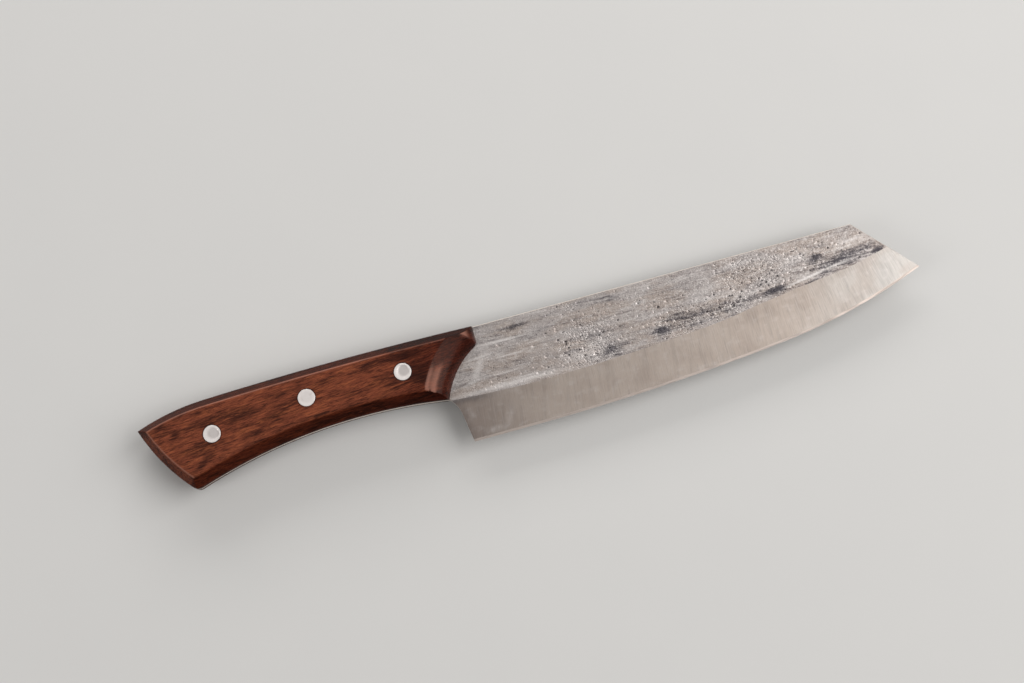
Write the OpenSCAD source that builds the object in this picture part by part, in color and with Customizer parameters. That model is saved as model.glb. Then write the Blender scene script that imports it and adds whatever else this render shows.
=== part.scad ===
// Kiritsuke kitchen knife: a forged blade with a full tang, two riveted wooden scales.
// The knife lies on its left scale. X runs from the butt to the tip, Y from the edge to the spine.
// Plan sizes are measured from the heel, which is the rear end of the cutting edge.

/* [Blade] */
// Length from the heel to the tip
blade_length = 180; // [165:1:200]
// Height from the straight stretch of the edge to the spine
blade_h = 42; // [39:0.5:46]
// Thickness of the tang and of the blade at the handle
blade_t = 2.2; // [1.8:0.1:2.8]
// Thickness of the blade at the tip, above the bevel
tip_t = 1.5; // [1.1:0.1:1.7]
// Height of the tip above the straight stretch of the edge
tip_h = 19.3; // [16:0.1:23]
// Length, along the spine, of the angled line down to the tip
k_run = 20.3; // [14:0.1:28]
// Length of the straight stretch of the edge, from the heel
edge_flat = 22.4; // [10:0.1:40]
// Length of the gently curved stretch of the edge
belly_length = 100; // [80:1:115]
// Radius of the gently curved stretch of the edge
belly_r = 934; // [800:1:1400]
// Chamfer that breaks the corners of the spine
spine_break = 0.3; // [0.1:0.05:0.5]

/* [Bevels] */
// Width of the wide bevel, square to the edge
bevel_w = 15.4; // [12:0.1:16]
// Extra width of the wide bevel at the neck
bevel_heel_extra = 1.6; // [0:0.1:2]
// Length over which the extra width fades out
bevel_heel_fade = 40; // [20:1:80]
// Width of the wide bevel at the tip
bevel_tip_w = 12.8; // [10:0.1:15]
// Length over which the bevel narrows to the tip
bevel_tip_fade = 35; // [20:1:60]
// Extra width of the wide bevel where it swells before the tip
bevel_swell = 1.2; // [0:0.1:2]
// Distance from the tip back to the middle of the swell
swell_back = 52; // [40:1:70]
// Length from the middle of the swell to where it fades out
swell_fade = 32; // [15:1:40]
// Width of the fine cutting bevel
cut_w = 0.9; // [0.5:0.1:1.5]
// Thickness of the blade behind the cutting bevel
cut_t = 0.46; // [0.3:0.02:0.7]
// Thickness left at the cutting edge
edge_t = 0.08; // [0.05:0.01:0.15]

/* [Neck] */
// Distance from the heel back to the neck, where the wood meets the blade
neck_back = 4.9; // [3.5:0.1:7]
// Radius of the finger hollow between neck and heel
choil_r = 10.7; // [9.5:0.1:14]
// Lean of the heel from upright, in degrees
heel_lean = 8.5; // [4:0.5:12]

/* [Handle] */
// Length of the wood from its nose to the butt's rear corner
handle_length = 129.3; // [118:0.1:140]
// Thickness over both scales
handle_t = 17; // [15:0.1:20]
// Distance from the heel forward to the nose of the wood
nose_ahead = 10.4; // [8:0.1:12]
// Distance from the nose back to the waist, where spine and belly lines are highest
waist_back = 48.5; // [40:0.5:56]
// Height of the belly line at the waist, above the straight stretch of the edge
waist_h = 20.2; // [18:0.1:22]
// Radius of the belly line
grip_r = 202.5; // [180:0.5:240]
// Radius of the handle's spine line
back_r = 1400; // [900:10:2000]
// Length of the dropping stretch of the spine line at the butt
drop_length = 25.6; // [18:0.1:34]
// Radius of the dropping stretch
drop_r = 84; // [60:1:140]
// Radius of the butt
butt_r = 76.9; // [60:0.1:110]
// Lean of the butt at its rear corner, in degrees
butt_lean = 19.5; // [10:0.5:26]
// Radius of the corner between butt and belly
corner_r = 3; // [1.5:0.1:5]
// Width in plan of the facets along the spine and the belly
facet_w = 3.6; // [2:0.1:5]
// Width in plan of the facet along the butt
butt_facet_w = 3.2; // [2:0.1:5]
// Height of the upright wall of the wood below its facets
wall_h = 1.6; // [0.8:0.1:3]
// Radius in plan of the hollow front of the wood, at the blade
front_r = 31.1; // [27:0.1:36]
// Direction from the neck to the centre of that hollow, in degrees below X
front_turn = 19.3; // [14:0.1:24]
// Radius in plan of the corner between the hollow front and the nose
nose_r = 3; // [1:0.1:4]
// Distance over which the hollow front rolls up to the flat
front_roll = 9.4; // [6:0.1:11]
// Distance over which the nose rolls up to the flat
nose_roll = 8.5; // [7:0.1:10]
// Length of the even slope, in front and nose, below the ridge of the flat
front_land = 4.6; // [2:0.1:5]
// Lean of that slope, in degrees
front_slope = 25; // [15:1:35]

/* [Rivets] */
// Distance from the nose back to the first rivet
rivet_back = 29.3; // [26:0.1:34]
// Distance from rivet to rivet
rivet_pitch = 36.4; // [30:0.1:38]
// Diameter of the heads
head_d = 6.4; // [5.8:0.1:8]
// Height of the heads
head_h = 2.4; // [1.6:0.1:3]
// Outer diameter of the hollow shank
shank_d = 4.8; // [4.2:0.1:5.4]
// Diameter of the pin inside the hollow shank
pin_d = 3; // [2.4:0.1:3.4]
// Gap left between the end of the hollow shank and the other head
shank_gap = 0.5; // [0.2:0.1:1.5]
// Depth that the pin leaves free at the bottom of its bore
pin_gap = 0.6; // [0.2:0.1:1.5]
// Play all round between the rivets and the wood or steel, filled by glue
glue_gap = 0.05; // [0.03:0.01:0.15]
// Play all round between pin and hollow shank
pin_play = 0.02; // [0.01:0.01:0.05]

/* [Hidden] */
steel = [0.64, 0.62, 0.60];
rosewood = [0.33, 0.15, 0.10];
rivet_steel = [0.78, 0.76, 0.72];

// Amount by which a cutter reaches past what it cuts
over = 1;
// Number of straight steps along the edge, and of bands across a roll
edge_steps = 60;
roll_steps = 8;
// Fineness of the long arcs and of the small rounds
long_fn = 720;
fn = 96;

// Height of each piece's own levels, from the middle of the blade
tang_z = blade_t / 2;
wall_z = tang_z + wall_h;
face_z = handle_t / 2;
seat_z = face_z - head_h;

// Edge: straight, then the belly's arc, then a tip arc that leaves it without a kink
function arc_rise(x, r) = r - sqrt(r * r - x * x);
belly_end = [edge_flat + belly_length, arc_rise(belly_length, belly_r)];
belly_turn = asin(belly_length / belly_r);
tip = [blade_length, tip_h];
tip_chord = tip - belly_end;
tip_inward = [-sin(belly_turn), cos(belly_turn)];
tip_r = (tip_chord * tip_chord) / (2 * tip_chord * tip_inward);
tip_c = belly_end + tip_r * tip_inward;
function edge_turn(x) = x <= edge_flat ? 0
    : x <= belly_end.x ? asin((x - edge_flat) / belly_r)
    : asin((x - tip_c.x) / tip_r);
function edge_y(x) = x <= edge_flat ? 0
    : x <= belly_end.x ? arc_rise(x - edge_flat, belly_r)
    : tip_c.y - sqrt(pow(tip_r, 2) - pow(x - tip_c.x, 2));
edge_xs = [for (i = [0 : edge_steps]) blade_length * i / edge_steps];
shoulder = [blade_length - k_run, blade_h];

// Width of the wide bevel, square to the edge at x
function heel_part(x) = pow(max(0, 1 - (x + neck_back) / bevel_heel_fade), 2);
function tip_part(x) = max(0, (x - blade_length + bevel_tip_fade) / bevel_tip_fade);
function swell_part(x) = pow(cos(90 * min(1, abs(blade_length - swell_back - x) / swell_fade)), 2);
function bevel_at(x) =
    bevel_w + bevel_heel_extra * heel_part(x) + bevel_swell * swell_part(x)
    - (bevel_w - bevel_tip_w) * tip_part(x);

// The blade keeps its thickness under the wood, then thins evenly to the tip
nose_x = nose_ahead;
function half_t(x) = tang_z - max(0, x - nose_x) / (blade_length - nose_x) * (blade_t - tip_t) / 2;

// Handle outline, each arc given by a point on it and the direction of its centre's far side
waist_x = nose_x - waist_back;
function belly_line(x) = waist_h - arc_rise(x - waist_x, grip_r);
crown_h = blade_h + arc_rise(waist_back, back_r);
butt_x = nose_x - handle_length;
drop_x = butt_x + drop_length;
drop_turn = asin((waist_x - drop_x) / back_r);
drop_point = [drop_x, crown_h - arc_rise(drop_x - waist_x, back_r)];
drop_c = drop_point + drop_r * [sin(drop_turn), -cos(drop_turn)];
function spine_line(x) = x >= drop_x ? crown_h - arc_rise(x - waist_x, back_r)
    : drop_c.y + sqrt(pow(drop_r, 2) - pow(x - drop_c.x, 2));
butt_corner = [butt_x, spine_line(butt_x)];
butt_c = butt_corner + butt_r * [cos(butt_lean), sin(butt_lean)];
grip_c = [waist_x, waist_h - grip_r];
neck = [-neck_back, belly_line(-neck_back)];
front_c = neck + front_r * [cos(front_turn), -sin(front_turn)];
nose_c_x = nose_x - nose_r;
nose_c = [nose_c_x, front_c.y + sqrt(pow(front_r + nose_r, 2) - pow(nose_c_x - front_c.x, 2))];
on_front = front_c + front_r * (nose_c - front_c) / (front_r + nose_r);
on_nose = [nose_x, nose_c.y];

// Crossing of two circles, on the side of c1 to c2 that the sign says
function crossing(c1, r1, c2, r2, sign) =
    let (d = c2 - c1, l = norm(d), a = (r1 * r1 - r2 * r2 + l * l) / (2 * l))
    c1 + d * a / l + sign * sqrt(r1 * r1 - a * a) * [-d.y, d.x] / l;
corner = crossing(butt_c, butt_r, grip_c, grip_r, -1);
corner_c = crossing(butt_c, butt_r - corner_r, grip_c, grip_r + corner_r, -1);
corner_on_butt = corner_c + corner_r * (corner_c - butt_c) / norm(corner_c - butt_c);
corner_on_belly = corner_c - corner_r * (corner_c - grip_c) / norm(corner_c - grip_c);

// Finger hollow: an arc through the neck that runs into the heel's straight line
heel_up = [-sin(heel_lean), cos(heel_lean)];
heel_out = [-cos(heel_lean), -sin(heel_lean)];
heel_from_neck = choil_r * heel_out - neck;
heel_b = heel_from_neck * heel_up;
heel_run = -heel_b - sqrt(pow(heel_b, 2) - heel_from_neck * heel_from_neck + pow(choil_r, 2));
choil_c = heel_run * heel_up + choil_r * heel_out;

// Rivets stand halfway between the spine and belly lines
rivet_xs = [for (i = [0 : 2]) nose_x - rivet_back - i * rivet_pitch];
function rivet_at(i) = [rivet_xs[i], (spine_line(rivet_xs[i]) + belly_line(rivet_xs[i])) / 2];

// Frame: centred on the whole knife in X and Y, with the left scale's face at height 0
frame_shift = [-(butt_x + blade_length) / 2, -crown_h / 2, face_z];

// Solid through a row of rings that have as many points each
module loft(rings) {
    n = len(rings[0]);
    m = len(rings);
    polyhedron(
        points = [for (ring = rings) for (p = ring) p],
        faces = concat(
            [[for (j = [0 : n - 1]) j]],
            [for (i = [0 : m - 2]) for (j = [0 : n - 1]) [
                i * n + j, (i + 1) * n + j, (i + 1) * n + (j + 1) % n
            ]],
            [for (i = [0 : m - 2]) for (j = [0 : n - 1]) [
                i * n + j, (i + 1) * n + (j + 1) % n, i * n + (j + 1) % n
            ]],
            [[for (j = [n - 1 : -1 : 0]) (m - 1) * n + j]]
        )
    );
}

// Places its children at a point of the plan with their X axis turned to a direction
module at(p, turn = 0) {
    translate([p.x, p.y])
        rotate(turn)
            children();
}

// Disc whose rim passes through p, where it faces the given direction
module disc_through(p, turn, r) {
    at(p, turn)
        translate([-r, 0])
            circle(r, $fn = long_fn);
}

// Plan of the handle, shared by the tang and both scales
module handle_plan() {
    difference() {
        intersection() {
            spine_side_plan();
            disc_through(butt_corner, 180 + butt_lean, butt_r);
        }
        disc_through([waist_x, waist_h], 90, grip_r);
        corner_waste();
    }
}

// Everything below the handle's spine line, from the butt to the nose
module spine_side_plan() {
    depth = blade_h;
    intersection() {
        disc_through(drop_point, 90 + drop_turn, back_r);
        polygon([
            drop_point,
            drop_point + 2 * depth * [sin(drop_turn), -cos(drop_turn)],
            [nose_x, -depth],
            [nose_x, blade_h + over],
            drop_point + over * [-sin(drop_turn), cos(drop_turn)]
        ]);
    }
    intersection() {
        disc_through(drop_point, 90 + drop_turn, drop_r);
        polygon([
            drop_point + over * [-sin(drop_turn), cos(drop_turn)],
            [butt_x - over, crown_h + over],
            [butt_x - over, -depth],
            drop_point + 2 * depth * [sin(drop_turn), -cos(drop_turn)]
        ]);
    }
}

// What the rounded corner between butt and belly leaves out
module corner_waste() {
    difference() {
        polygon([corner_c, corner_on_butt, corner + (corner - corner_c), corner_on_belly]);
        at(corner_c)
            circle(corner_r, $fn = fn);
    }
}

// What the rounded corner between front and nose leaves out
module nose_waste() {
    difference() {
        polygon([nose_c, on_front, [nose_x + over, on_front.y], [nose_x + over, on_nose.y], on_nose]);
        at(nose_c)
            circle(nose_r, $fn = fn);
    }
}

// Plan of the blade from the neck to the tip
module blade_plan() {
    difference() {
        polygon(concat(
            [[neck.x, 0]],
            [for (x = edge_xs) [x, edge_y(x)]],
            [shoulder, [neck.x, blade_h]]
        ));
        at(choil_c)
            circle(choil_r, $fn = fn);
        polygon([
            [0, 0],
            heel_run * heel_up,
            choil_c,
            [neck.x - over, choil_c.y],
            [neck.x - over, -over],
            -over * heel_up
        ]);
    }
}

// Cutter for one side's bevels. Each ring runs from outside the edge, over the cutting bevel and up
// the wide bevel to past the line where that meets the blade's flat.
module bevel_cutter(side) {
    cut_slope = (cut_t - edge_t) / 2 / cut_w;
    xs = concat([neck.x - over], edge_xs, [blade_length + over]);
    loft([for (x = xs) let (
        e = [x, edge_y(x)],
        inward = [-sin(edge_turn(x)), cos(edge_turn(x))],
        w = bevel_at(x),
        flat_z = half_t((e + w * inward).x),
        slope = (flat_z - cut_t / 2) / (w - cut_w),
        rim = [
            [-over, edge_t / 2 - over * cut_slope],
            [cut_w, cut_t / 2],
            [w + over, flat_z + over * slope],
            [w + over, blade_t],
            [-over, blade_t]
        ],
        ring = [for (q = rim) [e.x + q[0] * inward.x, e.y + q[0] * inward.y, side * q[1]]]
    ) side > 0 ? ring : [for (j = [len(ring) - 1 : -1 : 0]) ring[j]]]);
}

// Cutter that thins one side of the blade from the nose of the wood to the tip
module taper_cutter(side) {
    end_x = blade_length + over;
    mirror([0, 0, side > 0 ? 0 : 1])
        translate([0, blade_h + over, 0])
            rotate([90, 0, 0])
                linear_extrude(blade_h + 2 * over)
                    polygon([[nose_x, tang_z], [end_x, half_t(end_x)], [end_x, blade_t], [nose_x, blade_t]]);
}

// Cutter that breaks one corner of the spine between two plan points
module break_cutter(p, q, side) {
    along = (q - p) / norm(q - p);
    inward = [along.y, -along.x];
    function ring(c) = [
        for (o = [[spine_break + over, over], [-over, over], [-over, -spine_break - over]]) [
            c.x + o[0] * inward.x,
            c.y + o[0] * inward.y,
            side * (half_t(c.x) + o[1])
        ]
    ];
    function turned(points) = side > 0 ? points : [points[2], points[1], points[0]];
    loft([turned(ring(p)), turned(ring(q))]);
}

// Cutter for the facet along an arc of the handle's outline, swept between two directions
// about the arc's centre. With hollow, the wood lies outside the arc.
module facet_cutter(p, turn, r, width, from, to, hollow = false) {
    inward = hollow ? 1 : -1;
    slope = (face_z - wall_z) / width;
    reach = over / slope;
    at(p, turn)
        translate([-r, 0])
            rotate(from)
                rotate_extrude(angle = to - from, $fn = long_fn)
                    polygon([
                        [r - inward * over, wall_z - over * slope],
                        [r + inward * (width + reach), face_z + over],
                        [r - inward * over, face_z + over]
                    ]);
}

// Rise of a roll, as steps of distance and height: an arc that steepens downward, then the even
// slope, which meets the flat in a ridge
function roll(run, rise) =
    let (
        arc_end = [run - front_land, rise - front_land * tan(front_slope)],
        bend = atan(arc_end.y / arc_end.x) - front_slope,
        r = norm(arc_end) / (2 * sin(bend)),
        c = arc_end + r * [sin(front_slope), -cos(front_slope)]
    )
    concat(
        [for (i = [0 : roll_steps])
            let (lean = front_slope + 2 * bend * (1 - i / roll_steps))
            c + r * [-sin(lean), cos(lean)]],
        [[run, rise]]
    );

// Cutter for the hollow front of the wood, a surface of revolution about an upright axis
module front_cutter() {
    rise = face_z - tang_z;
    at(front_c)
        rotate_extrude($fn = long_fn)
            polygon(concat(
                [[0, face_z + over], [0, tang_z - over], [front_r, tang_z - over]],
                [for (q = roll(front_roll, rise)) [front_r + q[0], tang_z + q[1]]],
                [[front_r + front_roll, face_z + over]]
            ));
}

// Cutter for the nose, which rolls forward and down beside the spine
module nose_cutter() {
    rise = face_z - tang_z;
    translate([0, crown_h + over, 0])
        rotate([90, 0, 0])
            linear_extrude(crown_h + 2 * over)
                polygon(concat(
                    [[nose_x + over, face_z + over], [nose_x + over, tang_z - over], [nose_x, tang_z - over]],
                    [for (q = roll(nose_roll, rise)) [nose_x - q[0], tang_z + q[1]]],
                    [[nose_x - nose_roll, face_z + over]]
                ));
}

// One handle half, drawn for the right side
module scale_body() {
    sweep = 12;
    difference() {
        translate([0, 0, tang_z])
            linear_extrude(face_z - tang_z)
                difference() {
                    handle_plan();
                    nose_waste();
                }
        facet_cutter(drop_point, 90 + drop_turn, back_r, facet_w, -sweep, 1);
        facet_cutter(drop_point, 90 + drop_turn, drop_r, facet_w, 0, 3 * sweep);
        facet_cutter(butt_corner, 180 + butt_lean, butt_r, butt_facet_w, -sweep, 4 * sweep);
        facet_cutter([waist_x, waist_h], 90, grip_r, facet_w, -3 * sweep, 3 * sweep, true);
        front_cutter();
        nose_cutter();
        for (i = [0 : 2])
            at(rivet_at(i)) {
                cylinder(d = shank_d + 2 * glue_gap, h = face_z, $fn = fn);
                translate([0, 0, seat_z])
                    cylinder(d = head_d + 2 * glue_gap, h = head_h + over, $fn = fn);
            }
    }
}

module blade() {
    color(steel)
        translate(frame_shift)
            difference() {
                translate([0, 0, -tang_z])
                    linear_extrude(blade_t) {
                        handle_plan();
                        blade_plan();
                    }
                for (side = [-1, 1]) {
                    taper_cutter(side);
                    bevel_cutter(side);
                    break_cutter([nose_x, blade_h], shoulder, side);
                    break_cutter(shoulder, tip, side);
                }
                for (i = [0 : 2])
                    at(rivet_at(i))
                        cylinder(d = shank_d + 2 * glue_gap, h = 2 * blade_t, center = true, $fn = fn);
            }
}

module right_scale() {
    color(rosewood)
        translate(frame_shift)
            scale_body();
}

module left_scale() {
    color(rosewood)
        translate(frame_shift)
            mirror([0, 0, 1])
                scale_body();
}

// Hollow half of a rivet, with its head in the left scale
module rivet_sleeve(i) {
    bore_d = pin_d + 2 * pin_play;
    shank_top = seat_z - shank_gap;
    bore_bottom = -seat_z;
    color(rivet_steel)
        translate(frame_shift)
            at(rivet_at(i))
                difference() {
                    union() {
                        translate([0, 0, -face_z])
                            cylinder(d = head_d, h = head_h, $fn = fn);
                        translate([0, 0, -face_z])
                            cylinder(d = shank_d, h = face_z + shank_top, $fn = fn);
                    }
                    translate([0, 0, bore_bottom])
                        cylinder(d = bore_d, h = shank_top - bore_bottom + over, $fn = fn);
                }
}

// Pin half of a rivet, with its head in the right scale
module rivet_pin(i) {
    pin_bottom = -seat_z + pin_gap;
    color(rivet_steel)
        translate(frame_shift)
            at(rivet_at(i)) {
                translate([0, 0, seat_z])
                    cylinder(d = head_d, h = head_h, $fn = fn);
                translate([0, 0, pin_bottom])
                    cylinder(d = pin_d, h = face_z - pin_bottom, $fn = fn);
            }
}

blade();
right_scale();
left_scale();
rivet_sleeve(0);  // front_rivet_sleeve
rivet_pin(0);  // front_rivet_pin
rivet_sleeve(1);  // middle_rivet_sleeve
rivet_pin(1);  // middle_rivet_pin
rivet_sleeve(2);  // rear_rivet_sleeve
rivet_pin(2);  // rear_rivet_pin
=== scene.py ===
import math
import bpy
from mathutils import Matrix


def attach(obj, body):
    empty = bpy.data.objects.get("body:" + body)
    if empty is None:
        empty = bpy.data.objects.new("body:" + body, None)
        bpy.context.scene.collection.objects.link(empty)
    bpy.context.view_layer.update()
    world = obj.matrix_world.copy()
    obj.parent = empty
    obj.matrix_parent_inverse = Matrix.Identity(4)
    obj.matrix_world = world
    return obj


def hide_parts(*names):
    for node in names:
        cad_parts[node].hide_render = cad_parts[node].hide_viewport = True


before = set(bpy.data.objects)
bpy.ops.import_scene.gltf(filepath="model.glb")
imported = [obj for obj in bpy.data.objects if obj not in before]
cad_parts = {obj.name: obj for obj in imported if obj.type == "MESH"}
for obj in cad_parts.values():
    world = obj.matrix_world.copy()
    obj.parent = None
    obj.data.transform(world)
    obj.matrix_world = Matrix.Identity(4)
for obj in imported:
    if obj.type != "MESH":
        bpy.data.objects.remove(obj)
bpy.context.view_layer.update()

from types import SimpleNamespace

import bpy
import numpy as np
from bpy.props import FloatProperty, FloatVectorProperty, IntProperty, PointerProperty
from mathutils import Vector, noise
from mathutils.geometry import delaunay_2d_cdt

bl_info = {
    "name": "Kiritsuke knife",
    "version": (1, 0, 0),
    "blender": (4, 5, 0),
    "location": "3D View > Sidebar > Knife",
    "description": "Kitchen knife with a forged blade, a full tang and riveted wooden scales",
    "category": "Object",
}

MM = 0.001
BODY = "root"
RIVETS = ("front", "middle", "rear")
# The broken spine's place in Plan.blade_heights, whose finish the blade's walls share
GROUND = 3
# More than any height or distance, for a surface or a broken corner that doesn't reach a place
FAR = 9.0
# How far in the corners of heel and hollow are broken, and how steeply
HEEL_BREAK, HEEL_BREAK_SLOPE = 0.3, 0.6
TANG_HOLE_POINTS = 48
# What keeps the grinding marks of the two sides apart
LEFT_SIDE_SHIFT = 300
DEEP_PIT_R, DEEP_PIT_SLOPE = 0.55, 0.3
# How far each rivet's hollow leans along X and Y, in millimetres, and its share of the full depth
HOLLOWS = ((0.55, 0.4, 1.0), (0.0, 0.0, 0.25), (0.75, 0.1, 0.85))


# Properties

def length(name, description, millimetres, lowest=0.0, highest=1000.0):
    return FloatProperty(
        name=name, description=description, default=millimetres * MM,
        min=lowest * MM, max=highest * MM, unit="LENGTH", precision=5,
    )


def angle(name, description, degrees):
    return FloatProperty(
        name=name, description=description, default=math.radians(degrees), unit="ROTATION",
    )


def amount(name, description, value):
    return FloatProperty(name=name, description=description, default=value, min=0.0, max=4.0)


def linear(value):
    """A colour's share as light, from its number up to 255."""
    value /= 255
    return value / 12.92 if value <= 0.04045 else ((value + 0.055) / 1.055) ** 2.4


def colour(name, description, red, green, blue):
    return FloatVectorProperty(
        name=name, description=description, size=3, min=0.0, max=1.0, subtype="COLOR",
        default=(linear(red), linear(green), linear(blue)),
    )


class KnifeBladeSizes(bpy.types.PropertyGroup):
    blade_length: length("Length", "Length from the heel to the tip", 180)
    blade_h: length("Height", "Height from the straight stretch of the edge to the spine", 42)
    blade_t: length("Thickness", "Thickness of the tang and of the blade at the handle", 2.2)
    tip_t: length("Tip thickness", "Thickness at the tip, above the bevel", 1.5)
    tip_h: length("Tip height", "Height of the tip above the straight stretch of the edge", 19.3)
    k_run: length("Angled line", "Length along the spine of the angled line to the tip", 20.3)
    edge_flat: length("Straight edge", "Length of the straight stretch of the edge", 22.4)
    belly_length: length("Curved edge", "Length of the gently curved stretch of the edge", 100)
    belly_r: length("Edge radius", "Radius of the gently curved stretch", 934, 0, 2000)
    spine_break: length("Spine chamfer", "Chamfer that breaks the corners of the spine", 0.3)
    bevel_w: length("Bevel width", "Width of the wide bevel, square to the edge", 15.4)
    bevel_heel_extra: length("Bevel at neck", "Extra width of the wide bevel at the neck", 1.6)
    bevel_heel_fade: length("Neck fade", "Length over which that extra width fades out", 40)
    bevel_tip_w: length("Bevel at tip", "Width of the wide bevel at the tip", 12.8)
    bevel_tip_fade: length("Tip fade", "Length over which the bevel narrows to the tip", 35)
    bevel_swell: length("Swell", "Extra width of the wide bevel where it swells before the tip", 1.2)
    swell_back: length("Swell place", "Distance from the tip back to the middle of the swell", 52)
    swell_fade: length("Swell fade", "Length from the middle of the swell to where it fades out", 32)
    cut_w: length("Cutting bevel", "Width of the fine cutting bevel", 0.9)
    cut_t: length("Behind the edge", "Thickness of the blade behind the cutting bevel", 0.46)
    edge_t: length("Edge thickness", "Thickness left at the cutting edge", 0.08)
    neck_back: length("Neck", "Distance from the heel back to the neck", 4.9)
    choil_r: length("Finger hollow", "Radius of the hollow between neck and heel", 10.7)
    heel_lean: angle("Heel lean", "Lean of the heel from upright", 8.5)
    forging_relief: length("Forging relief", "Depth of the hammered waves in the flats", 0.05)
    pit_r: length("Pit radius", "Radius of the smaller pits that the forge scale leaves", 0.3)
    pit_slope: amount("Pit steepness", "Depth of the pits as a share of their radius", 0.34)
    pits_per_mm2: amount("Pit count", "Pits to a square millimetre where they lie thickest", 1.1)
    grid: length("Grid", "Spacing of the mesh on the forged flats", 0.6)


class KnifeHandleSizes(bpy.types.PropertyGroup):
    handle_length: length("Length", "Length of the wood from its nose to the butt", 129.3)
    handle_t: length("Thickness", "Thickness over both scales", 17)
    nose_ahead: length("Nose", "Distance from the heel forward to the nose of the wood", 10.4)
    waist_back: length("Waist", "Distance from the nose back to the waist", 48.5)
    waist_h: length("Waist height", "Height of the belly line at the waist", 20.2)
    grip_r: length("Belly radius", "Radius of the belly line", 202.5)
    back_r: length("Spine radius", "Radius of the handle's spine line", 1400, 0, 3000)
    drop_length: length("Drop", "Length of the dropping stretch of the spine line", 25.6)
    drop_r: length("Drop radius", "Radius of the dropping stretch", 84)
    butt_r: length("Butt radius", "Radius of the butt", 76.9)
    butt_lean: angle("Butt lean", "Lean of the butt at its rear corner", 19.5)
    corner_r: length("Butt corner", "Radius of the corner between butt and belly", 3)
    facet_w: length("Facets", "Width of the facets along the spine and the belly", 3.6)
    butt_facet_w: length("Butt facet", "Width of the facet along the butt", 3.2)
    wall_h: length("Wall", "Height of the upright wall below the facets", 1.6)
    front_r: length("Front radius", "Radius in plan of the hollow front of the wood", 31.1)
    front_turn: angle("Front turn", "Direction from the neck to the hollow's centre", 19.3)
    front_roll: length("Front roll", "Distance over which the front rolls up to the flat", 9.4)
    nose_roll: length("Nose roll", "Distance over which the nose rolls up to the flat", 8.5)
    nose_r: length("Nose corner", "Radius in plan of the corner of the nose", 3)
    front_land: length("Even slope", "Length of the even slope below the ridge of the flat", 4.6)
    front_slope: angle("Slope", "Lean of that slope", 25)
    ridge_r: length("Crisp ridge", "Softness of the ridges along spine and butt", 0.6)
    belly_ridge_r: length("Belly ridge", "Softness of the ridge along the belly", 2.2)
    front_ridge_r: length("Front ridge", "Softness of the ridge between flat and front", 0.16)
    rim_r: length("Rim", "Softness of the edge between wall and facet", 0.5)
    grid: length("Grid", "Spacing of the mesh on the wood", 0.7)


class KnifeRivetSizes(bpy.types.PropertyGroup):
    rivet_back: length("First rivet", "Distance from the nose back to the first rivet", 29.3)
    rivet_pitch: length("Pitch", "Distance from rivet to rivet", 36.4)
    head_d: length("Head diameter", "Diameter of the heads", 6.4)
    head_h: length("Head height", "Height of the heads", 2.4)
    shank_d: length("Shank diameter", "Outer diameter of the hollow shank", 4.8)
    pin_d: length("Pin diameter", "Diameter of the pin inside the hollow shank", 3)
    shank_gap: length("Shank gap", "Gap between the hollow shank and the other head", 0.5)
    pin_gap: length("Pin gap", "Depth that the pin leaves free in its bore", 0.6)
    glue_gap: length("Glue gap", "Play all round between the rivets and the wood", 0.05)
    pin_play: length("Pin play", "Play all round between pin and hollow shank", 0.02)
    dish: length("Dish", "Depth of the deepest hollow in the heads", 0.26)
    dish_r: length("Dish radius", "Radius of the hollows at their top", 2.7)
    dish_floor_r: length("Dish floor", "Radius of the hollows at their bottom", 1.6)
    head_round: length("Head rounding", "Rounding of the heads' rims", 0.12)
    rivet_stain: length("Dark rim", "Width of the darker wood round each rivet", 0.45)
    hole_round: length("Hole rounding", "Rounding of the wood at the rivet holes", 0.12)
    segments: IntProperty(name="Segments", description="Faces around each rivet", default=96, min=24)


class KnifeFinishes(bpy.types.PropertyGroup):
    forged: colour("Forged steel", "Main colour of the forged flats", 176, 167, 163)
    forged_warm: colour("Warm tint", "Warm tint in the forged flats", 174, 158, 147)
    forged_pale: colour("Bare steel", "Paler places where the scale has come off", 224, 217, 213)
    forged_dark: colour("Forge scale", "Dark scale left in the forged flats", 62, 59, 66)
    # The bevel's colours are painted shade at the heel and painted light toward the tip and at the
    # point.
    bevel_heel: colour("Bevel at heel", "Satin bevel near the heel", 156, 142, 134)
    bevel_tip: colour("Bevel at tip", "Satin bevel near the tip", 193, 179, 168)
    honed: colour("Honed edge", "Fine cutting bevel along the edge", 192, 179, 170)
    bevel_point: colour("Bevel at point", "Satin bevel at the very point", 193, 187, 181)
    ground: colour("Ground steel", "Spine, choil and tang", 228, 218, 208)
    rivet: colour("Rivet steel", "Satin steel of the rivet heads", 246, 238, 234)
    wood: colour("Rosewood", "Main colour of the wood", 118, 62, 44)
    wood_light: colour("Light grain", "Orange streaks in the wood", 150, 84, 54)
    wood_dark: colour("Dark grain", "Dark streaks in the wood", 42, 22, 19)
    # Painted highlight on the wood's upper ridges and on the even slopes of front and nose.
    wood_highlight: colour("Worn wood", "Rubbed ridges and front of the wood", 170, 118, 100)
    floor: colour("Floor", "Pale floor under the knife", 208, 206, 203)


class KnifeSettings(bpy.types.PropertyGroup):
    blade: PointerProperty(type=KnifeBladeSizes)
    handle: PointerProperty(type=KnifeHandleSizes)
    rivets: PointerProperty(type=KnifeRivetSizes)
    finishes: PointerProperty(type=KnifeFinishes)


def values_of(*groups):
    """The values of the groups by name, with lengths in millimetres."""
    values = {}
    for group in groups:
        for key, prop in group.bl_rna.properties.items():
            if key not in ("rna_type", "name"):
                value = getattr(group, key)
                values[key] = value / MM if getattr(prop, "unit", "") == "LENGTH" else value
    return SimpleNamespace(**values)


# Plan and heights, in millimetres from the heel and from the middle of the blade

def polar(turn):
    return np.array([math.cos(turn), math.sin(turn)])


def arc_rise(x, r):
    """How far an arc has left its tangent after a run along it."""
    return r - np.sqrt(r * r - x * x)


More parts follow.
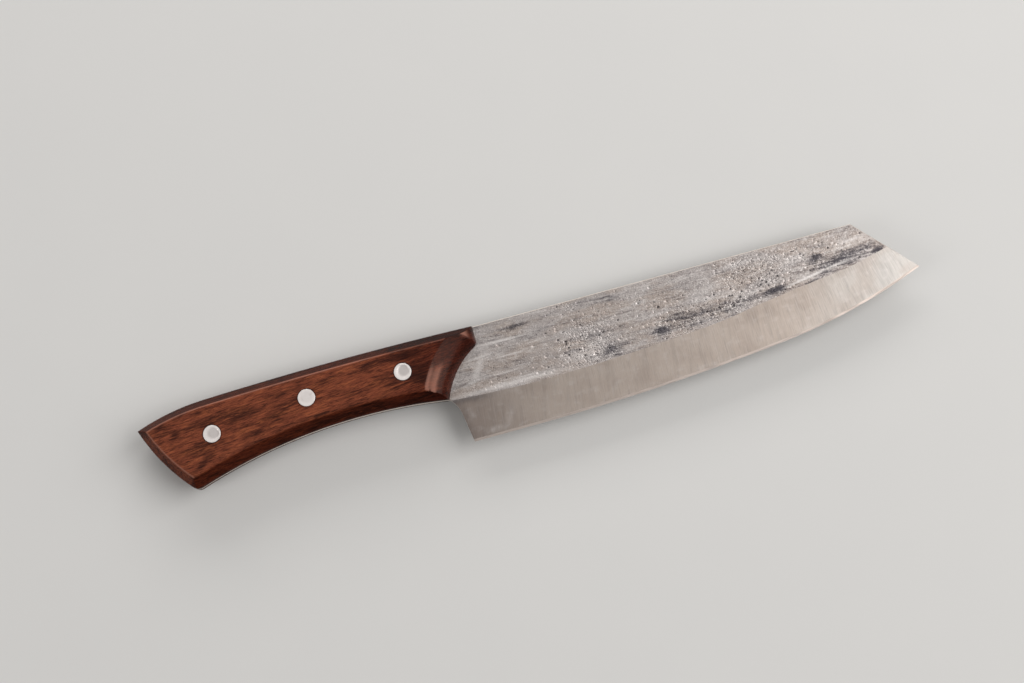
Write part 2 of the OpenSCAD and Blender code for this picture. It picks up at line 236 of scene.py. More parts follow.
def crossing(c1, r1, c2, r2, side):
    """Crossing of two circles, on the side of c1 to c2 that the sign says."""
    d = c2 - c1
    span = np.hypot(*d)
    a = (r1 * r1 - r2 * r2 + span * span) / (2 * span)
    return c1 + d * a / span + side * math.sqrt(r1 * r1 - a * a) * np.array([-d[1], d[0]]) / span


def soft_min(a, b, softness):
    """The lower of two heights, with the crease between them rounded."""
    h = np.maximum(softness - np.abs(a - b), 0) / softness
    return np.minimum(a, b) - h * h * softness / 4


def smooth(x, low, high):
    """0 at low and 1 at high, with an easy start and end."""
    t = np.clip((x - low) / (high - low), 0, 1)
    return t * t * (3 - 2 * t)


def arc_points(centre, r, start, end, step):
    """Points about a step apart on an arc between two turns."""
    n = max(1, round(abs(end - start) * r / step))
    turns = np.linspace(start, end, n + 1)
    return np.stack([centre[0] + r * np.cos(turns), centre[1] + r * np.sin(turns)], 1)


def turn_of(p, centre):
    return math.atan2(p[1] - centre[1], p[0] - centre[0])


def arc_between(centre, r, start, end, step):
    """Points on an arc from the direction of one point to that of another."""
    return arc_points(centre, r, turn_of(start, centre), turn_of(end, centre), step)


class Plan:
    """The knife's outlines and heights, from the same sizes as its solids."""

    def __init__(self, settings):
        k = self.k = values_of(settings.handle, settings.rivets, settings.blade)
        self.handle_grid = settings.handle.grid / MM
        self.blade_grid = settings.blade.grid / MM
        self.tang_z = k.blade_t / 2
        self.wall_z = self.tang_z + k.wall_h
        self.face_z = k.handle_t / 2
        self.seat_z = self.face_z - k.head_h
        self.seat_r = k.head_d / 2 + k.glue_gap
        self.bore_r = k.shank_d / 2 + k.glue_gap
        self.belly_turn = math.asin(k.belly_length / k.belly_r)
        self.belly_end = np.array([k.edge_flat + k.belly_length, arc_rise(k.belly_length, k.belly_r)])
        self.tip = np.array([k.blade_length, k.tip_h])
        chord = self.tip - self.belly_end
        inward = np.array([-math.sin(self.belly_turn), math.cos(self.belly_turn)])
        self.tip_r = chord @ chord / (2 * chord @ inward)
        self.tip_c = self.belly_end + self.tip_r * inward
        self.shoulder = np.array([k.blade_length - k.k_run, k.blade_h])
        self.angled_along = (self.tip - self.shoulder) / np.hypot(*(self.tip - self.shoulder))
        self.nose_x = k.nose_ahead
        self.waist_x = self.nose_x - k.waist_back
        self.crown_h = k.blade_h + arc_rise(k.waist_back, k.back_r)
        self.butt_x = self.nose_x - k.handle_length
        drop_x = self.butt_x + k.drop_length
        self.drop_turn = math.asin((self.waist_x - drop_x) / k.back_r)
        self.back_c = np.array([self.waist_x, self.crown_h - k.back_r])
        self.drop_point = np.array([drop_x, self.spine_y(drop_x, back=True)])
        drop_inward = np.array([math.sin(self.drop_turn), -math.cos(self.drop_turn)])
        self.drop_c = self.drop_point + k.drop_r * drop_inward
        self.butt_corner = np.array([self.butt_x, self.spine_y(self.butt_x)])
        self.butt_c = self.butt_corner + k.butt_r * polar(k.butt_lean)
        self.grip_c = np.array([self.waist_x, k.waist_h - k.grip_r])
        self.neck = np.array([-k.neck_back, self.belly_y(-k.neck_back)])
        self.front_c = self.neck + k.front_r * polar(-k.front_turn)
        self.corner_c = crossing(
            self.butt_c, k.butt_r - k.corner_r, self.grip_c, k.grip_r + k.corner_r, -1
        )
        heel_up = np.array([-math.sin(k.heel_lean), math.cos(k.heel_lean)])
        heel_out = -polar(k.heel_lean)
        reach = k.choil_r * heel_out - self.neck
        b = reach @ heel_up
        self.heel_run = -b - math.sqrt(b * b - reach @ reach + k.choil_r ** 2)
        self.heel_top = self.heel_run * heel_up
        self.choil_c = self.heel_top + k.choil_r * heel_out
        # The rounded corner of the nose touches the nose's straight line and the hollow front.
        x = self.nose_x - k.nose_r
        r = k.front_r + k.nose_r
        self.nose_c = np.array([x, self.front_c[1] + math.sqrt(r * r - (x - self.front_c[0]) ** 2)])
        self.origin = np.array([-(self.butt_x + k.blade_length) / 2, -self.crown_h / 2, self.face_z])

    def spine_y(self, x, back=False):
        k = self.k
        if back or x >= self.drop_point[0]:
            return self.crown_h - arc_rise(x - self.waist_x, k.back_r)
        return self.drop_c[1] + math.sqrt(k.drop_r ** 2 - (x - self.drop_c[0]) ** 2)

    def belly_y(self, x):
        return self.k.waist_h - arc_rise(x - self.waist_x, self.k.grip_r)

    def rivet_at(self, i):
        x = self.nose_x - self.k.rivet_back - i * self.k.rivet_pitch
        return np.array([x, (self.spine_y(x) + self.belly_y(x)) / 2])

    def ring(self, i, r, count):
        """Points on a circle round the middle of a rivet."""
        return arc_points(self.rivet_at(i), r, 0, 2 * math.pi, 2 * math.pi * r / count)[:-1]

    def rings(self, r, count):
        return [self.ring(i, r, count) for i in range(len(RIVETS))]

    # Blade

    def half_t(self, x):
        k = self.k
        run = np.maximum(0, x - self.nose_x) / (k.blade_length - self.nose_x)
        return self.tang_z - run * (k.blade_t - k.tip_t) / 2

    def bevel_at(self, foot):
        k = self.k
        heel = np.maximum(0, 1 - (foot + k.neck_back) / k.bevel_heel_fade) ** 2
        tip = np.maximum(0, (foot - k.blade_length + k.bevel_tip_fade) / k.bevel_tip_fade)
        away = np.minimum(1, np.abs(k.blade_length - k.swell_back - foot) / k.swell_fade)
        swell = k.bevel_swell * np.cos(away * math.pi / 2) ** 2
        return k.bevel_w + k.bevel_heel_extra * heel + swell - (k.bevel_w - k.bevel_tip_w) * tip

    def edge_point(self, foot, distance):
        """Points at a distance square to the edge, from feet that are given by their X."""
        k = self.k
        turn = np.where(
            foot <= k.edge_flat, 0.0,
            np.where(
                foot <= self.belly_end[0],
                np.arcsin(np.clip((foot - k.edge_flat) / k.belly_r, -1, 1)),
                np.arcsin(np.clip((foot - self.tip_c[0]) / self.tip_r, -1, 1)),
            ),
        )
        y = np.where(
            foot <= k.edge_flat, 0.0,
            np.where(
                foot <= self.belly_end[0],
                k.belly_r - k.belly_r * np.cos(turn),
                self.tip_c[1] - self.tip_r * np.cos(turn),
            ),
        )
        return np.stack([foot - distance * np.sin(turn), y + distance * np.cos(turn)], 1)

    def edge_place(self, x, y):
        """Each point's foot on the edge by its X, its distance from the edge and the turn there."""
        k = self.k
        turn = np.arctan2(x - k.edge_flat, k.belly_r - y)
        tip_turn = np.arctan2(x - self.tip_c[0], self.tip_c[1] - y)
        curved = turn > 0
        at_tip = tip_turn > self.belly_turn
        foot = np.where(curved, k.edge_flat + k.belly_r * np.sin(turn), x)
        distance = np.where(curved, k.belly_r - np.hypot(x - k.edge_flat, k.belly_r - y), y)
        foot = np.where(at_tip, self.tip_c[0] + self.tip_r * np.sin(tip_turn), foot)
        away = np.hypot(x - self.tip_c[0], self.tip_c[1] - y)
        distance = np.where(at_tip, self.tip_r - away, distance)
        return foot, distance, np.where(at_tip, tip_turn, np.where(curved, turn, 0.0))

    def from_spine(self, x, y):
        """Distance inward from the blade's spine and from the angled line to the tip."""
        along = self.angled_along
        angled = (x - self.shoulder[0]) * along[1] - (y - self.shoulder[1]) * along[0]
        return np.minimum(self.k.blade_h - y, angled)

    def from_heel(self, x, y):
        """Distance inward from the finger hollow and the heel's straight line."""
        hollow = np.hypot(x - self.choil_c[0], y - self.choil_c[1]) - self.k.choil_r
        along = np.array([-math.sin(self.k.heel_lean), math.cos(self.k.heel_lean)])
        line = x * along[1] - y * along[0]
        return np.where(x * along[0] + y * along[1] > self.heel_run, hollow, line)

    def blade_heights(self, x, y):
        """The heights of the flat, of the wide bevel, of the cutting bevel and of the broken spine."""
        k = self.k
        foot, d, turn = self.edge_place(x, y)
        flat = self.half_t(x)
        w = self.bevel_at(foot)
        line_x = foot - w * np.sin(turn)
        wide = k.cut_t / 2 + (d - k.cut_w) * (self.half_t(line_x) - k.cut_t / 2) / (w - k.cut_w)
        fine = k.edge_t / 2 + d * (k.cut_t - k.edge_t) / 2 / k.cut_w
        broken = flat - k.spine_break + self.from_spine(x, y)
        broken = np.where(x < self.nose_x, FAR, broken)
        return np.stack([flat, wide, fine, broken])

    def blade_outline(self):
        """Counter-clockwise from the heel, along the edge, round the tip and back round the tang."""
        k = self.k
        feet = np.linspace(0, k.blade_length, int(k.blade_length) + 1)
        edge = self.edge_point(feet, 0 * feet)
        angled = np.linspace(self.tip, self.shoulder, 46)[1:]
        spine_x = np.linspace(self.shoulder[0], self.nose_x, 180)
        spine = np.stack([spine_x, np.full(180, k.blade_h)], 1)[1:]
        hollow = arc_between(self.choil_c, k.choil_r, self.neck, self.heel_top, 0.35)[1:]
        heel = np.linspace(self.heel_top, [0, 0], 24)[1:-1]
        tang = self.handle_outline(1.0, closed=False)
        return np.concatenate([edge, angled, spine, tang, hollow, heel])

    def handle_outline(self, step, closed=True):
        """Counter-clockwise from the top of the nose, round the butt, to the neck."""
        k = self.k
        top = [self.nose_x, k.blade_h]
        back = arc_between(self.back_c, k.back_r, top, self.drop_point, step)
        drop = arc_between(self.drop_c, k.drop_r, self.drop_point, self.butt_corner, step)
        from_butt, from_grip = self.corner_c - self.butt_c, self.corner_c - self.grip_c
        on_butt = self.corner_c + k.corner_r * from_butt / np.hypot(*from_butt)
        on_belly = self.corner_c - k.corner_r * from_grip / np.hypot(*from_grip)
        butt = arc_points(
            self.butt_c, k.butt_r, math.pi + k.butt_lean,
            turn_of(on_butt, self.butt_c) % (2 * math.pi), step,
        )
        corner = arc_points(
            self.corner_c, k.corner_r, turn_of(on_butt, self.corner_c) % (2 * math.pi),
            turn_of(on_belly, self.corner_c) % (2 * math.pi), 0.4,
        )
        belly = arc_between(self.grip_c, k.grip_r, on_belly, self.neck, step)
        parts = [back, drop[1:], butt[1:], corner[1:], belly[1:]]
        if closed:
            touch = self.front_c + k.front_r * (self.nose_c - self.front_c) / (k.front_r + k.nose_r)
            front = arc_between(self.front_c, k.front_r, self.neck, touch, 0.5)
            nose = arc_points(self.nose_c, k.nose_r, turn_of(touch, self.nose_c), 0, 0.3)
            line = np.linspace([self.nose_x, self.nose_c[1]], top, 12)
            parts += [front[1:], nose[1:], line[1:-1]]
        return np.concatenate(parts)

    # Wood

    def wood_sides(self, x, y):
        """Distance inward from the spine, the belly, the butt, the hollow front and the nose."""
        k = self.k
        ahead = (x - self.drop_point[0]) * math.cos(self.drop_turn) \
            + (y - self.drop_point[1]) * math.sin(self.drop_turn)
        spine = np.where(
            ahead >= 0,
            k.back_r - np.hypot(x - self.back_c[0], y - self.back_c[1]),
            k.drop_r - np.hypot(x - self.drop_c[0], y - self.drop_c[1]),
        )
        belly = np.hypot(x - self.grip_c[0], y - self.grip_c[1]) - k.grip_r
        butt = k.butt_r - np.hypot(x - self.butt_c[0], y - self.butt_c[1])
        front = np.hypot(x - self.front_c[0], y - self.front_c[1]) - k.front_r
        return np.stack([spine, belly, butt, front, self.nose_x - x])

    def roll_arc(self, run):
        """Where a roll's arc ends, its radius and its centre, from the foot of the roll."""
        k = self.k
        slope = k.front_slope
        rise = self.face_z - self.tang_z
        end = np.array([run - k.front_land, rise - k.front_land * math.tan(slope)])
        r = np.hypot(*end) / (2 * math.sin(math.atan2(end[1], end[0]) - slope))
        return end, r, end + r * np.array([math.sin(slope), -math.cos(slope)])

    def roll(self, s, run):
        """Height of a roll: an arc that steepens downward, then the even slope below the ridge."""
        end, r, c = self.roll_arc(run)
        arc = c[1] + np.sqrt(np.maximum(r * r - (c[0] - s) ** 2, 0))
        line = end[1] + (s - end[0]) * math.tan(self.k.front_slope)
        return self.tang_z + np.where(s < end[0], arc, line)

    def wood_heights(self, x, y):
        """The heights that each side's facet or roll allows, in the order of wood_sides."""
        k = self.k
        spine, belly, butt, front, nose = self.wood_sides(x, y)
        rise = self.face_z - self.wall_z

        def facet(s, width):
            return soft_min(self.wall_z + rise * s / width, self.wall_z - 0.3 + 4 * s, k.rim_r)

        return np.stack([
            facet(spine, k.facet_w), facet(belly, k.facet_w), facet(butt, k.butt_facet_w),
            self.roll(front, k.front_roll), self.roll(nose, k.nose_roll),
        ])

    def wood_top(self, x, y):
        """Height of the wood: the flat, cut down by facets and rolls and rounded at the rivets."""
        k = self.k
        spine, belly, butt, front, nose = self.wood_heights(x, y)
        z = soft_min(np.full(x.shape, self.face_z), belly, k.belly_ridge_r)
        z = soft_min(z, spine, k.ridge_r)
        z = soft_min(z, butt, k.ridge_r)
        # Front and nose meet in a crease that is crisp at the ridge and rounded out at the blade.
        low = smooth(np.minimum(front, nose), self.tang_z + 3.5, self.tang_z)
        rolls = soft_min(front, nose, 0.3 + 2.2 * low)
        z = soft_min(z, rolls, k.front_ridge_r)
        for i in range(len(RIVETS)):
            c = self.rivet_at(i)
            away = np.hypot(x - c[0], y - c[1]) - self.seat_r
            t = np.clip(1 - away / 0.3, 0, 1)
            z = z - k.hole_round * (1 - np.sqrt(1 - t * t))
        return np.maximum(z, self.tang_z)


# Meshes

def inside(points, outline):
    """Which points lie inside a closed outline."""
    x, y = points[:, 0], points[:, 1]
    hit = np.zeros(len(points), bool)
    ends = np.roll(outline, -1, 0)
    for (ax, ay), (bx, by) in zip(outline, ends):
        if ay != by:
            over = (ay > y) != (by > y)
            hit ^= over & (x < (bx - ax) * (y - ay) / (by - ay) + ax)
    return hit


def hexagonal(low, high, step):
    """A grid of points in staggered rows."""
    rows = []
    for j, y in enumerate(np.arange(low[1], high[1], step * 0.866)):
        xs = np.arange(low[0], high[0], step) + (step / 2 if j % 2 else 0)
        rows.append(np.stack([xs, np.full(len(xs), y)], 1))
    return np.concatenate(rows)


class Crowd:
    """Points filed by cells of one gap, to ask whether a further point keeps that gap."""

    def __init__(self, gap, points=()):
        self.gap, self.cells = gap, {}
        for p in points:
            self.add(p)

    def add(self, p):
        self.cells.setdefault((int(p[0] // self.gap), int(p[1] // self.gap)), []).append(p)

    def has_room(self, p):
        i, j = int(p[0] // self.gap), int(p[1] // self.gap)
        around = ((a, b) for a in (i - 1, i, i + 1) for b in (j - 1, j, j + 1))
        near = (q for cell in around for q in self.cells.get(cell, ()))
        return all((p[0] - q[0]) ** 2 + (p[1] - q[1]) ** 2 >= self.gap * self.gap for q in near)


def clear_of(points, others, gap):
    """The points that are at least a gap away from all the others."""
    crowd = Crowd(gap, others)
    return np.array([p for p in points if crowd.has_room(p)]).reshape(-1, 2)


def thin(points, gap):
    """The points with those left out that are nearer than a gap to an earlier one."""
    crowd, kept = Crowd(gap), []
    for p in points:
        if crowd.has_room(p):
            crowd.add(p)
            kept.append(p)
    return np.array(kept).reshape(-1, 2)


def triangles(outline, holes=(), lines=(), points=()):
    """Plan points and triangles that fill an outline, with its holes left open."""
    coords, edges = [], []
    for path in (outline, *holes, *lines):
        start = len(coords)
        coords.extend(path)
        edges.extend((start + i, start + i + 1) for i in range(len(path) - 1))
        if path is outline or any(path is hole for hole in holes):
            edges.append((start + len(path) - 1, start))
    coords.extend(points)
    made = delaunay_2d_cdt([Vector(c) for c in coords], edges, [], 0, 1e-6)
    verts = np.array([tuple(v) for v in made[0]])
    faces = np.array([tuple(f) for f in made[2]])
    middle = verts[faces].mean(1)
    keep = inside(middle, np.asarray(outline))
    for hole in holes:
        keep &= ~inside(middle, np.asarray(hole))
    faces = faces[keep]
    a, b, c = verts[faces[:, 0]], verts[faces[:, 1]], verts[faces[:, 2]]
    area = (b[:, 0] - a[:, 0]) * (c[:, 1] - a[:, 1]) - (b[:, 1] - a[:, 1]) * (c[:, 0] - a[:, 0])
    faces[area < 0] = faces[area < 0][:, ::-1]
    faces = faces[np.abs(area) > 1e-9]
    used, faces = np.unique(faces, return_inverse=True)
    return verts[used], faces.reshape(-1, 3)


def rim_of(faces):
    """The directed edges that belong to one triangle only."""
    edges = {(a, b) for f in faces for a, b in ((f[0], f[1]), (f[1], f[2]), (f[2], f[0]))}
    return [(a, b) for a, b in edges if (b, a) not in edges]


def new_object(name, plan, verts, faces, materials, kinds=None):
    """A piece from plan millimetres, with its place in its mesh and each face's finish."""
    mesh = bpy.data.meshes.new(name)
    mesh.from_pydata((np.asarray(verts) + plan.origin) * MM, [], [tuple(map(int, f)) for f in faces])
    if kinds is not None:
        mesh.polygons.foreach_set("material_index", np.asarray(kinds, np.int32))
    mesh.polygons.foreach_set("use_smooth", np.ones(len(mesh.polygons), bool))
    for material in materials:
        mesh.materials.append(material)
    mesh.validate()
    mesh.update()
    piece = bpy.data.objects.new(name, mesh)
    bpy.context.scene.collection.objects.link(piece)
    return piece


def mark_sharp(piece, degrees, kinds_too=False):
    """Marks the edges sharp where faces turn by more than an angle, or where the finish changes."""
    mesh = piece.data
    normals = np.zeros(len(mesh.polygons) * 3)
    mesh.polygons.foreach_get("normal", normals)
    normals = normals.reshape(-1, 3)
    kinds = np.zeros(len(mesh.polygons), np.int32)
    mesh.polygons.foreach_get("material_index", kinds)
    loops = np.zeros(len(mesh.loops), np.int32)
    mesh.loops.foreach_get("edge_index", loops)
    first = np.full(len(mesh.edges), -1)
    sharp = np.zeros(len(mesh.edges), bool)
    limit = math.cos(math.radians(degrees))
    for polygon in mesh.polygons:
        for loop in range(polygon.loop_start, polygon.loop_start + polygon.loop_total):
            edge = loops[loop]
            other = first[edge]
            if other < 0:
                first[edge] = polygon.index
            else:
                bent = normals[other] @ normals[polygon.index] < limit
                sharp[edge] |= bent or kinds_too and kinds[other] != kinds[polygon.index]
    mesh.edges.foreach_set("use_edge_sharp", sharp)
    mesh.update()


def mark(piece, name, values):
    """Gives each point of a piece a number or a place that its finish reads by name."""
    values = np.asarray(values, np.float32)
    kind, field = ("FLOAT", "value") if values.ndim == 1 else ("FLOAT_VECTOR", "vector")
    piece.data.attributes.new(name, kind, "POINT").data.foreach_set(field, values.ravel())


def ride(piece, slot, *nodes):
    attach(piece, BODY)
    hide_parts(*nodes)


# Finishes

class Finish:
    """A procedural material and the few calls that build its nodes."""

    def __init__(self, name):
        self.material = bpy.data.materials.new(name)
        self.material.use_nodes = True
        self.tree = self.material.node_tree
        self.tree.nodes.clear()
        self.shader = self.node("ShaderNodeBsdfPrincipled")
        output = self.node("ShaderNodeOutputMaterial")
        self.tree.links.new(self.shader.outputs["BSDF"], output.inputs["Surface"])
        self.place = self.node("ShaderNodeTexCoord").outputs["Object"]

    def node(self, kind, **settings):
        made = self.tree.nodes.new(kind)
        for key, value in settings.items():
            setattr(made, key, value)
        return made

    def feed(self, socket, value):
        if isinstance(value, bpy.types.NodeSocket):
            self.tree.links.new(value, socket)
        elif socket.type == "RGBA" and len(value) == 3:
            socket.default_value = (*value, 1.0)
        else:
            socket.default_value = value

    def set(self, **values):
        for key, value in values.items():
            self.feed(self.shader.inputs[key.replace("_", " ")], value)

    def spread(self, x, y, z, shift=(0, 0, 0), turn=0.0, source=None):
        """Coordinates in units of so many millimetres along each axis, turned about Z."""
        unit = 1.0 if source else MM
        made = self.node("ShaderNodeMapping", vector_type="TEXTURE")
        self.feed(made.inputs["Vector"], source or self.place)
        made.inputs["Scale"].default_value = (x * unit, y * unit, z * unit)
        made.inputs["Rotation"].default_value = (0, 0, math.radians(turn))
        made.inputs["Location"].default_value = tuple(v * unit for v in shift)
        return made.outputs["Vector"]

    def noise(self, where, detail=3.0, roughness=0.5, distortion=0.0):
        made = self.node("ShaderNodeTexNoise")
        self.feed(made.inputs["Vector"], where)
        made.inputs["Scale"].default_value = 1.0
        made.inputs["Detail"].default_value = detail
        made.inputs["Roughness"].default_value = roughness
        made.inputs["Distortion"].default_value = distortion
        return made.outputs["Fac"]

    def cells(self, where):
        made = self.node("ShaderNodeTexVoronoi")
        self.feed(made.inputs["Vector"], where)
        made.inputs["Scale"].default_value = 1.0
        return made.outputs["Distance"]

    def split(self, place):
        """The X, Y and Z of a place."""
        made = self.node("ShaderNodeSeparateXYZ")
        self.feed(made.inputs[0], place)
        return made.outputs

    def math(self, operation, a, b=0.0, c=0.0):
        made = self.node("ShaderNodeMath", operation=operation)
        for socket, value in zip(made.inputs, (a, b, c)):
            self.feed(socket, value)
        return made.outputs[0]

    def fit(self, value, low, high, new_low=0.0, new_high=1.0):
        made = self.node("ShaderNodeMapRange", clamp=True, interpolation_type="SMOOTHSTEP")
        for socket, number in zip(made.inputs, (value, low, high, new_low, new_high)):
            self.feed(socket, number)
        return made.outputs[0]

    def mix(self, share, a, b, blend="MIX"):
        made = self.node("ShaderNodeMix", data_type="RGBA", blend_type=blend)
        self.feed(made.inputs[0], share)
        self.feed(made.inputs[6], a)
        self.feed(made.inputs[7], b)
        return made.outputs[2]

    def tint(self, base, *layers):
        """A colour under layers, each with its value, that value's range, its share and its colour."""
        for value, low, high, share, colour in layers:
            base = self.mix(self.fit(value, low, high, 0, share), base, colour)
        return base

    def named(self, name, output="Fac"):
        return self.node("ShaderNodeAttribute", attribute_name=name).outputs[output]

    def bump(self, height, distance, normal=None):
        """Relief of a height from 0 to 1, in millimetres."""
        made = self.node("ShaderNodeBump")
        made.inputs["Strength"].default_value = 1.0
        made.inputs["Distance"].default_value = distance * MM
        self.feed(made.inputs["Height"], height)
        if normal is not None:
            self.feed(made.inputs["Normal"], normal)
        return made.outputs["Normal"]


# As shares of light: the painted shade on a deep pit's floor, what darkens the wood at the blade, and
# the painted shade in its facets
PIT_FLOOR = (0.022, 0.02, 0.024)
WOOD_AT_BLADE = (0.5, 0.38, 0.4)
FACET_SHADE = (0.34, 0.25, 0.22)


def forged_steel(c):
    f = Finish("Forged steel")
    streak = f.noise(f.spread(17, 2.6, 3, turn=-2), detail=4, roughness=0.6, distortion=0.6)
    brushed = f.noise(f.spread(9, 0.5, 1, turn=-3), roughness=0.6)
    cloud = f.noise(f.spread(15, 5, 3))
    mottle = f.noise(f.spread(1.7, 1.1, 1), detail=4, roughness=0.65)
    grain = f.noise(f.spread(0.46, 0.4, 0.5), detail=2, roughness=0.6)
    soot, rough = f.named("soot"), f.named("rough")
    base = f.tint(
        c.forged,
        (cloud, 0.38, 0.62, 0.7, c.forged_warm),
        (streak, 0.5, 0.72, 0.45, c.forged_dark),
        (streak, 0.47, 0.3, 0.5, c.forged_pale),
        (brushed, 0.52, 0.72, 0.22, c.forged_dark),
        (brushed, 0.46, 0.3, 0.3, c.forged_pale),
        (mottle, 0.5, 0.72, 0.4, c.forged_dark),
        (mottle, 0.48, 0.3, 0.5, c.forged_pale),
    )
    # The grain is strongest where the pits lie.
    tooth = f.fit(rough, 0.05, 0.6, 0.8, 1.15)
    base = f.mix(f.math("MULTIPLY", tooth, f.fit(grain, 0.52, 0.72, 0, 0.45)), base, c.forged_dark)
    base = f.mix(f.math("MULTIPLY", tooth, f.fit(grain, 0.47, 0.3, 0, 0.75)), base, c.forged_pale)
    # Scale lies as a thin veil, with black specks where it is thickest.
    brush = f.math("MULTIPLY_ADD", brushed, 1.1, soot)
    veil = f.math("MULTIPLY_ADD", streak, 1.4, f.math("MULTIPLY_ADD", mottle, 1.3, brush))
    specks = f.math("MULTIPLY_ADD", grain, 1.8, f.math("MULTIPLY_ADD", mottle, 0.6, brush))
    # Small pits lie between the modelled ones, most where those are thickest.
    pit = f.fit(f.cells(f.spread(0.75, 0.66, 1)), 0.38, 0.1)
    pit = f.math("MULTIPLY", pit, f.fit(f.math("MULTIPLY_ADD", cloud, 0.4, rough), 0.3, 0.9))
    # The last layer below carries both the bare steel and the painted highlight round the pits' rims.
    base = f.tint(
        base,
        (veil, 2.15, 3.1, 0.62, c.forged_dark),
        (specks, 2.25, 2.95, 0.75, c.forged_dark),
        (f.named("bare_steel_and_rim_highlight"), 0.1, 0.9, 0.85, c.forged_pale),
    )
    base = f.mix(f.math("MULTIPLY", pit, 0.5), base, c.forged_dark)
    # Painted shade: the pits' floors are painted dark, darkest in the deepest pits.
    base = f.tint(base, (f.named("dark"), 0.1, 0.8, 0.9, PIT_FLOOR))
    f.set(Base_Color=base, Metallic=0.8, Roughness=f.fit(mottle, 0.3, 0.7, 0.4, 0.52))
    normal = f.bump(mottle, 0.14)
    normal = f.bump(grain, 0.08, normal)
    normal = f.bump(f.math("SUBTRACT", 1.0, pit), 0.22, normal)
    f.set(Normal=f.bump(streak, 0.08, normal))
    return f.material


def satin_bevel(c):
    f = Finish("Satin bevel")
    place = f.named("edge_place", "Vector")
    scratch = f.noise(f.spread(0.42, 7, 1000, turn=-6, source=place), roughness=0.6, distortion=0.3)
    band = f.noise(f.spread(2.2, 14, 1000, turn=-10, source=place))
    cloud = f.noise(f.spread(13, 9, 1000, source=place))
    stain = f.noise(f.spread(4, 2.5, 1000, shift=(7, 3, 0), source=place), detail=4)
    # Painted light and shade: the bevel is painted darkest at the heel, with painted shade under its
    # upper line at the neck, and painted palest at the point, as if lit there.
    along = f.split(f.place)[0]
    neck = f.fit(f.split(place)[2], -3.0, -0.2)
    neck = f.math("MULTIPLY", neck, f.fit(along, -0.014, -0.034, 0, 0.8))
    tone = f.tint(
        c.bevel_heel,
        (along, -0.035, 0.003, 1, c.bevel_tip),
        (along, 0.09, 0.137, 1, c.bevel_point),
    )
    tone = f.tint(
        f.mix(neck, tone, c.forged_dark),
        (cloud, 0.42, 0.68, 0.45, c.forged_warm),
        (band, 0.45, 0.7, 0.12, c.forged_dark),
        (scratch, 0.48, 0.72, 0.2, c.forged_dark),
        (scratch, 0.46, 0.28, 0.25, c.forged_pale),
        (stain, 0.5, 0.75, 0.2, c.forged_pale),
    )
    scuff = f.math("MULTIPLY", f.named("bare_steel_and_rim_highlight"), f.fit(scratch, 0.4, 0.6, 0.2, 0.7))
    tone = f.mix(scuff, tone, c.forged_pale)
    f.set(Base_Color=tone, Metallic=0.9, Roughness=f.fit(scratch, 0.3, 0.7, 0.36, 0.44))
    f.set(Normal=f.bump(scratch, 0.02))
    return f.material


def ground_steel(c, name, colour, roughness):
    f = Finish(name)
    line = f.noise(f.spread(7, 7, 0.15))
    patch = f.noise(f.spread(6, 3, 3), detail=2)
    base = f.tint(
        colour,
        (line, 0.45, 0.7, 0.25, c.forged_dark),
        (patch, 0.45, 0.7, 0.25, c.forged_warm),
    )
    f.set(Base_Color=base, Metallic=0.85)
    f.set(Roughness=f.fit(line, 0.3, 0.7, roughness, roughness + 0.12))
    f.set(Normal=f.bump(line, 0.01))
    return f.material


def rosewood(c, name, shift, gloss):
    f = Finish(name)
    patch = f.noise(f.spread(22, 6, 8, shift, 3), roughness=0.55)
    broad = f.noise(f.spread(8, 1.1, 1.6, shift, 5), detail=4, roughness=0.6, distortion=0.7)
    streak = f.noise(f.spread(4.2, 0.5, 0.8, shift, 5), detail=4, roughness=0.65, distortion=0.4)
    fine = f.noise(f.spread(2.6, 0.28, 0.4, shift, 4), roughness=0.6)
    pore = f.noise(f.spread(1.8, 0.17, 0.3, shift, 6), detail=2)
    grown = f.math("MULTIPLY_ADD", streak, -1.2, f.named("dark_grain"))
    base = f.tint(
        c.wood,
        (patch, 0.52, 0.36, 0.7, c.wood_dark),
        (broad, 0.52, 0.68, 0.6, c.wood_light),
        (broad, 0.5, 0.32, 0.7, c.wood_dark),
        (streak, 0.53, 0.7, 0.5, c.wood_light),
        (streak, 0.5, 0.32, 0.7, c.wood_dark),
        (fine, 0.52, 0.72, 0.4, c.wood_light),
        (fine, 0.48, 0.3, 0.5, c.wood_dark),
        (pore, 0.57, 0.68, 0.7, c.wood_dark),
        (grown, -0.55, 0.35, 0.8, c.wood_dark),
    )
    # The wood darkens toward the blade, and painted shade darkens its facets, the rolls' feet, a line
    # across the front and the upper fronts.
    front = f.fit(f.math("MULTIPLY_ADD", patch, 0.03, f.split(f.place)[0]), -0.05, -0.012)
    base = f.mix(front, base, WOOD_AT_BLADE, "MULTIPLY")
    base = f.mix(f.named("shade"), base, FACET_SHADE, "MULTIPLY")
    # Painted highlight on the ridges and on the even slopes of front and nose.
    base = f.mix(f.math("MULTIPLY", f.named("painted_highlight"), 0.6), base, c.wood_highlight)
    base = f.mix(f.named("rivet_edge"), base, c.wood_dark)
    f.set(Base_Color=base, Roughness=f.fit(fine, 0.3, 0.7, 0.22, 0.3))
    f.set(Specular_IOR_Level=gloss, Specular_Tint=(1.0, 0.7, 0.6, 1.0))
    f.set(Normal=f.bump(pore, 0.01))
    return f.material


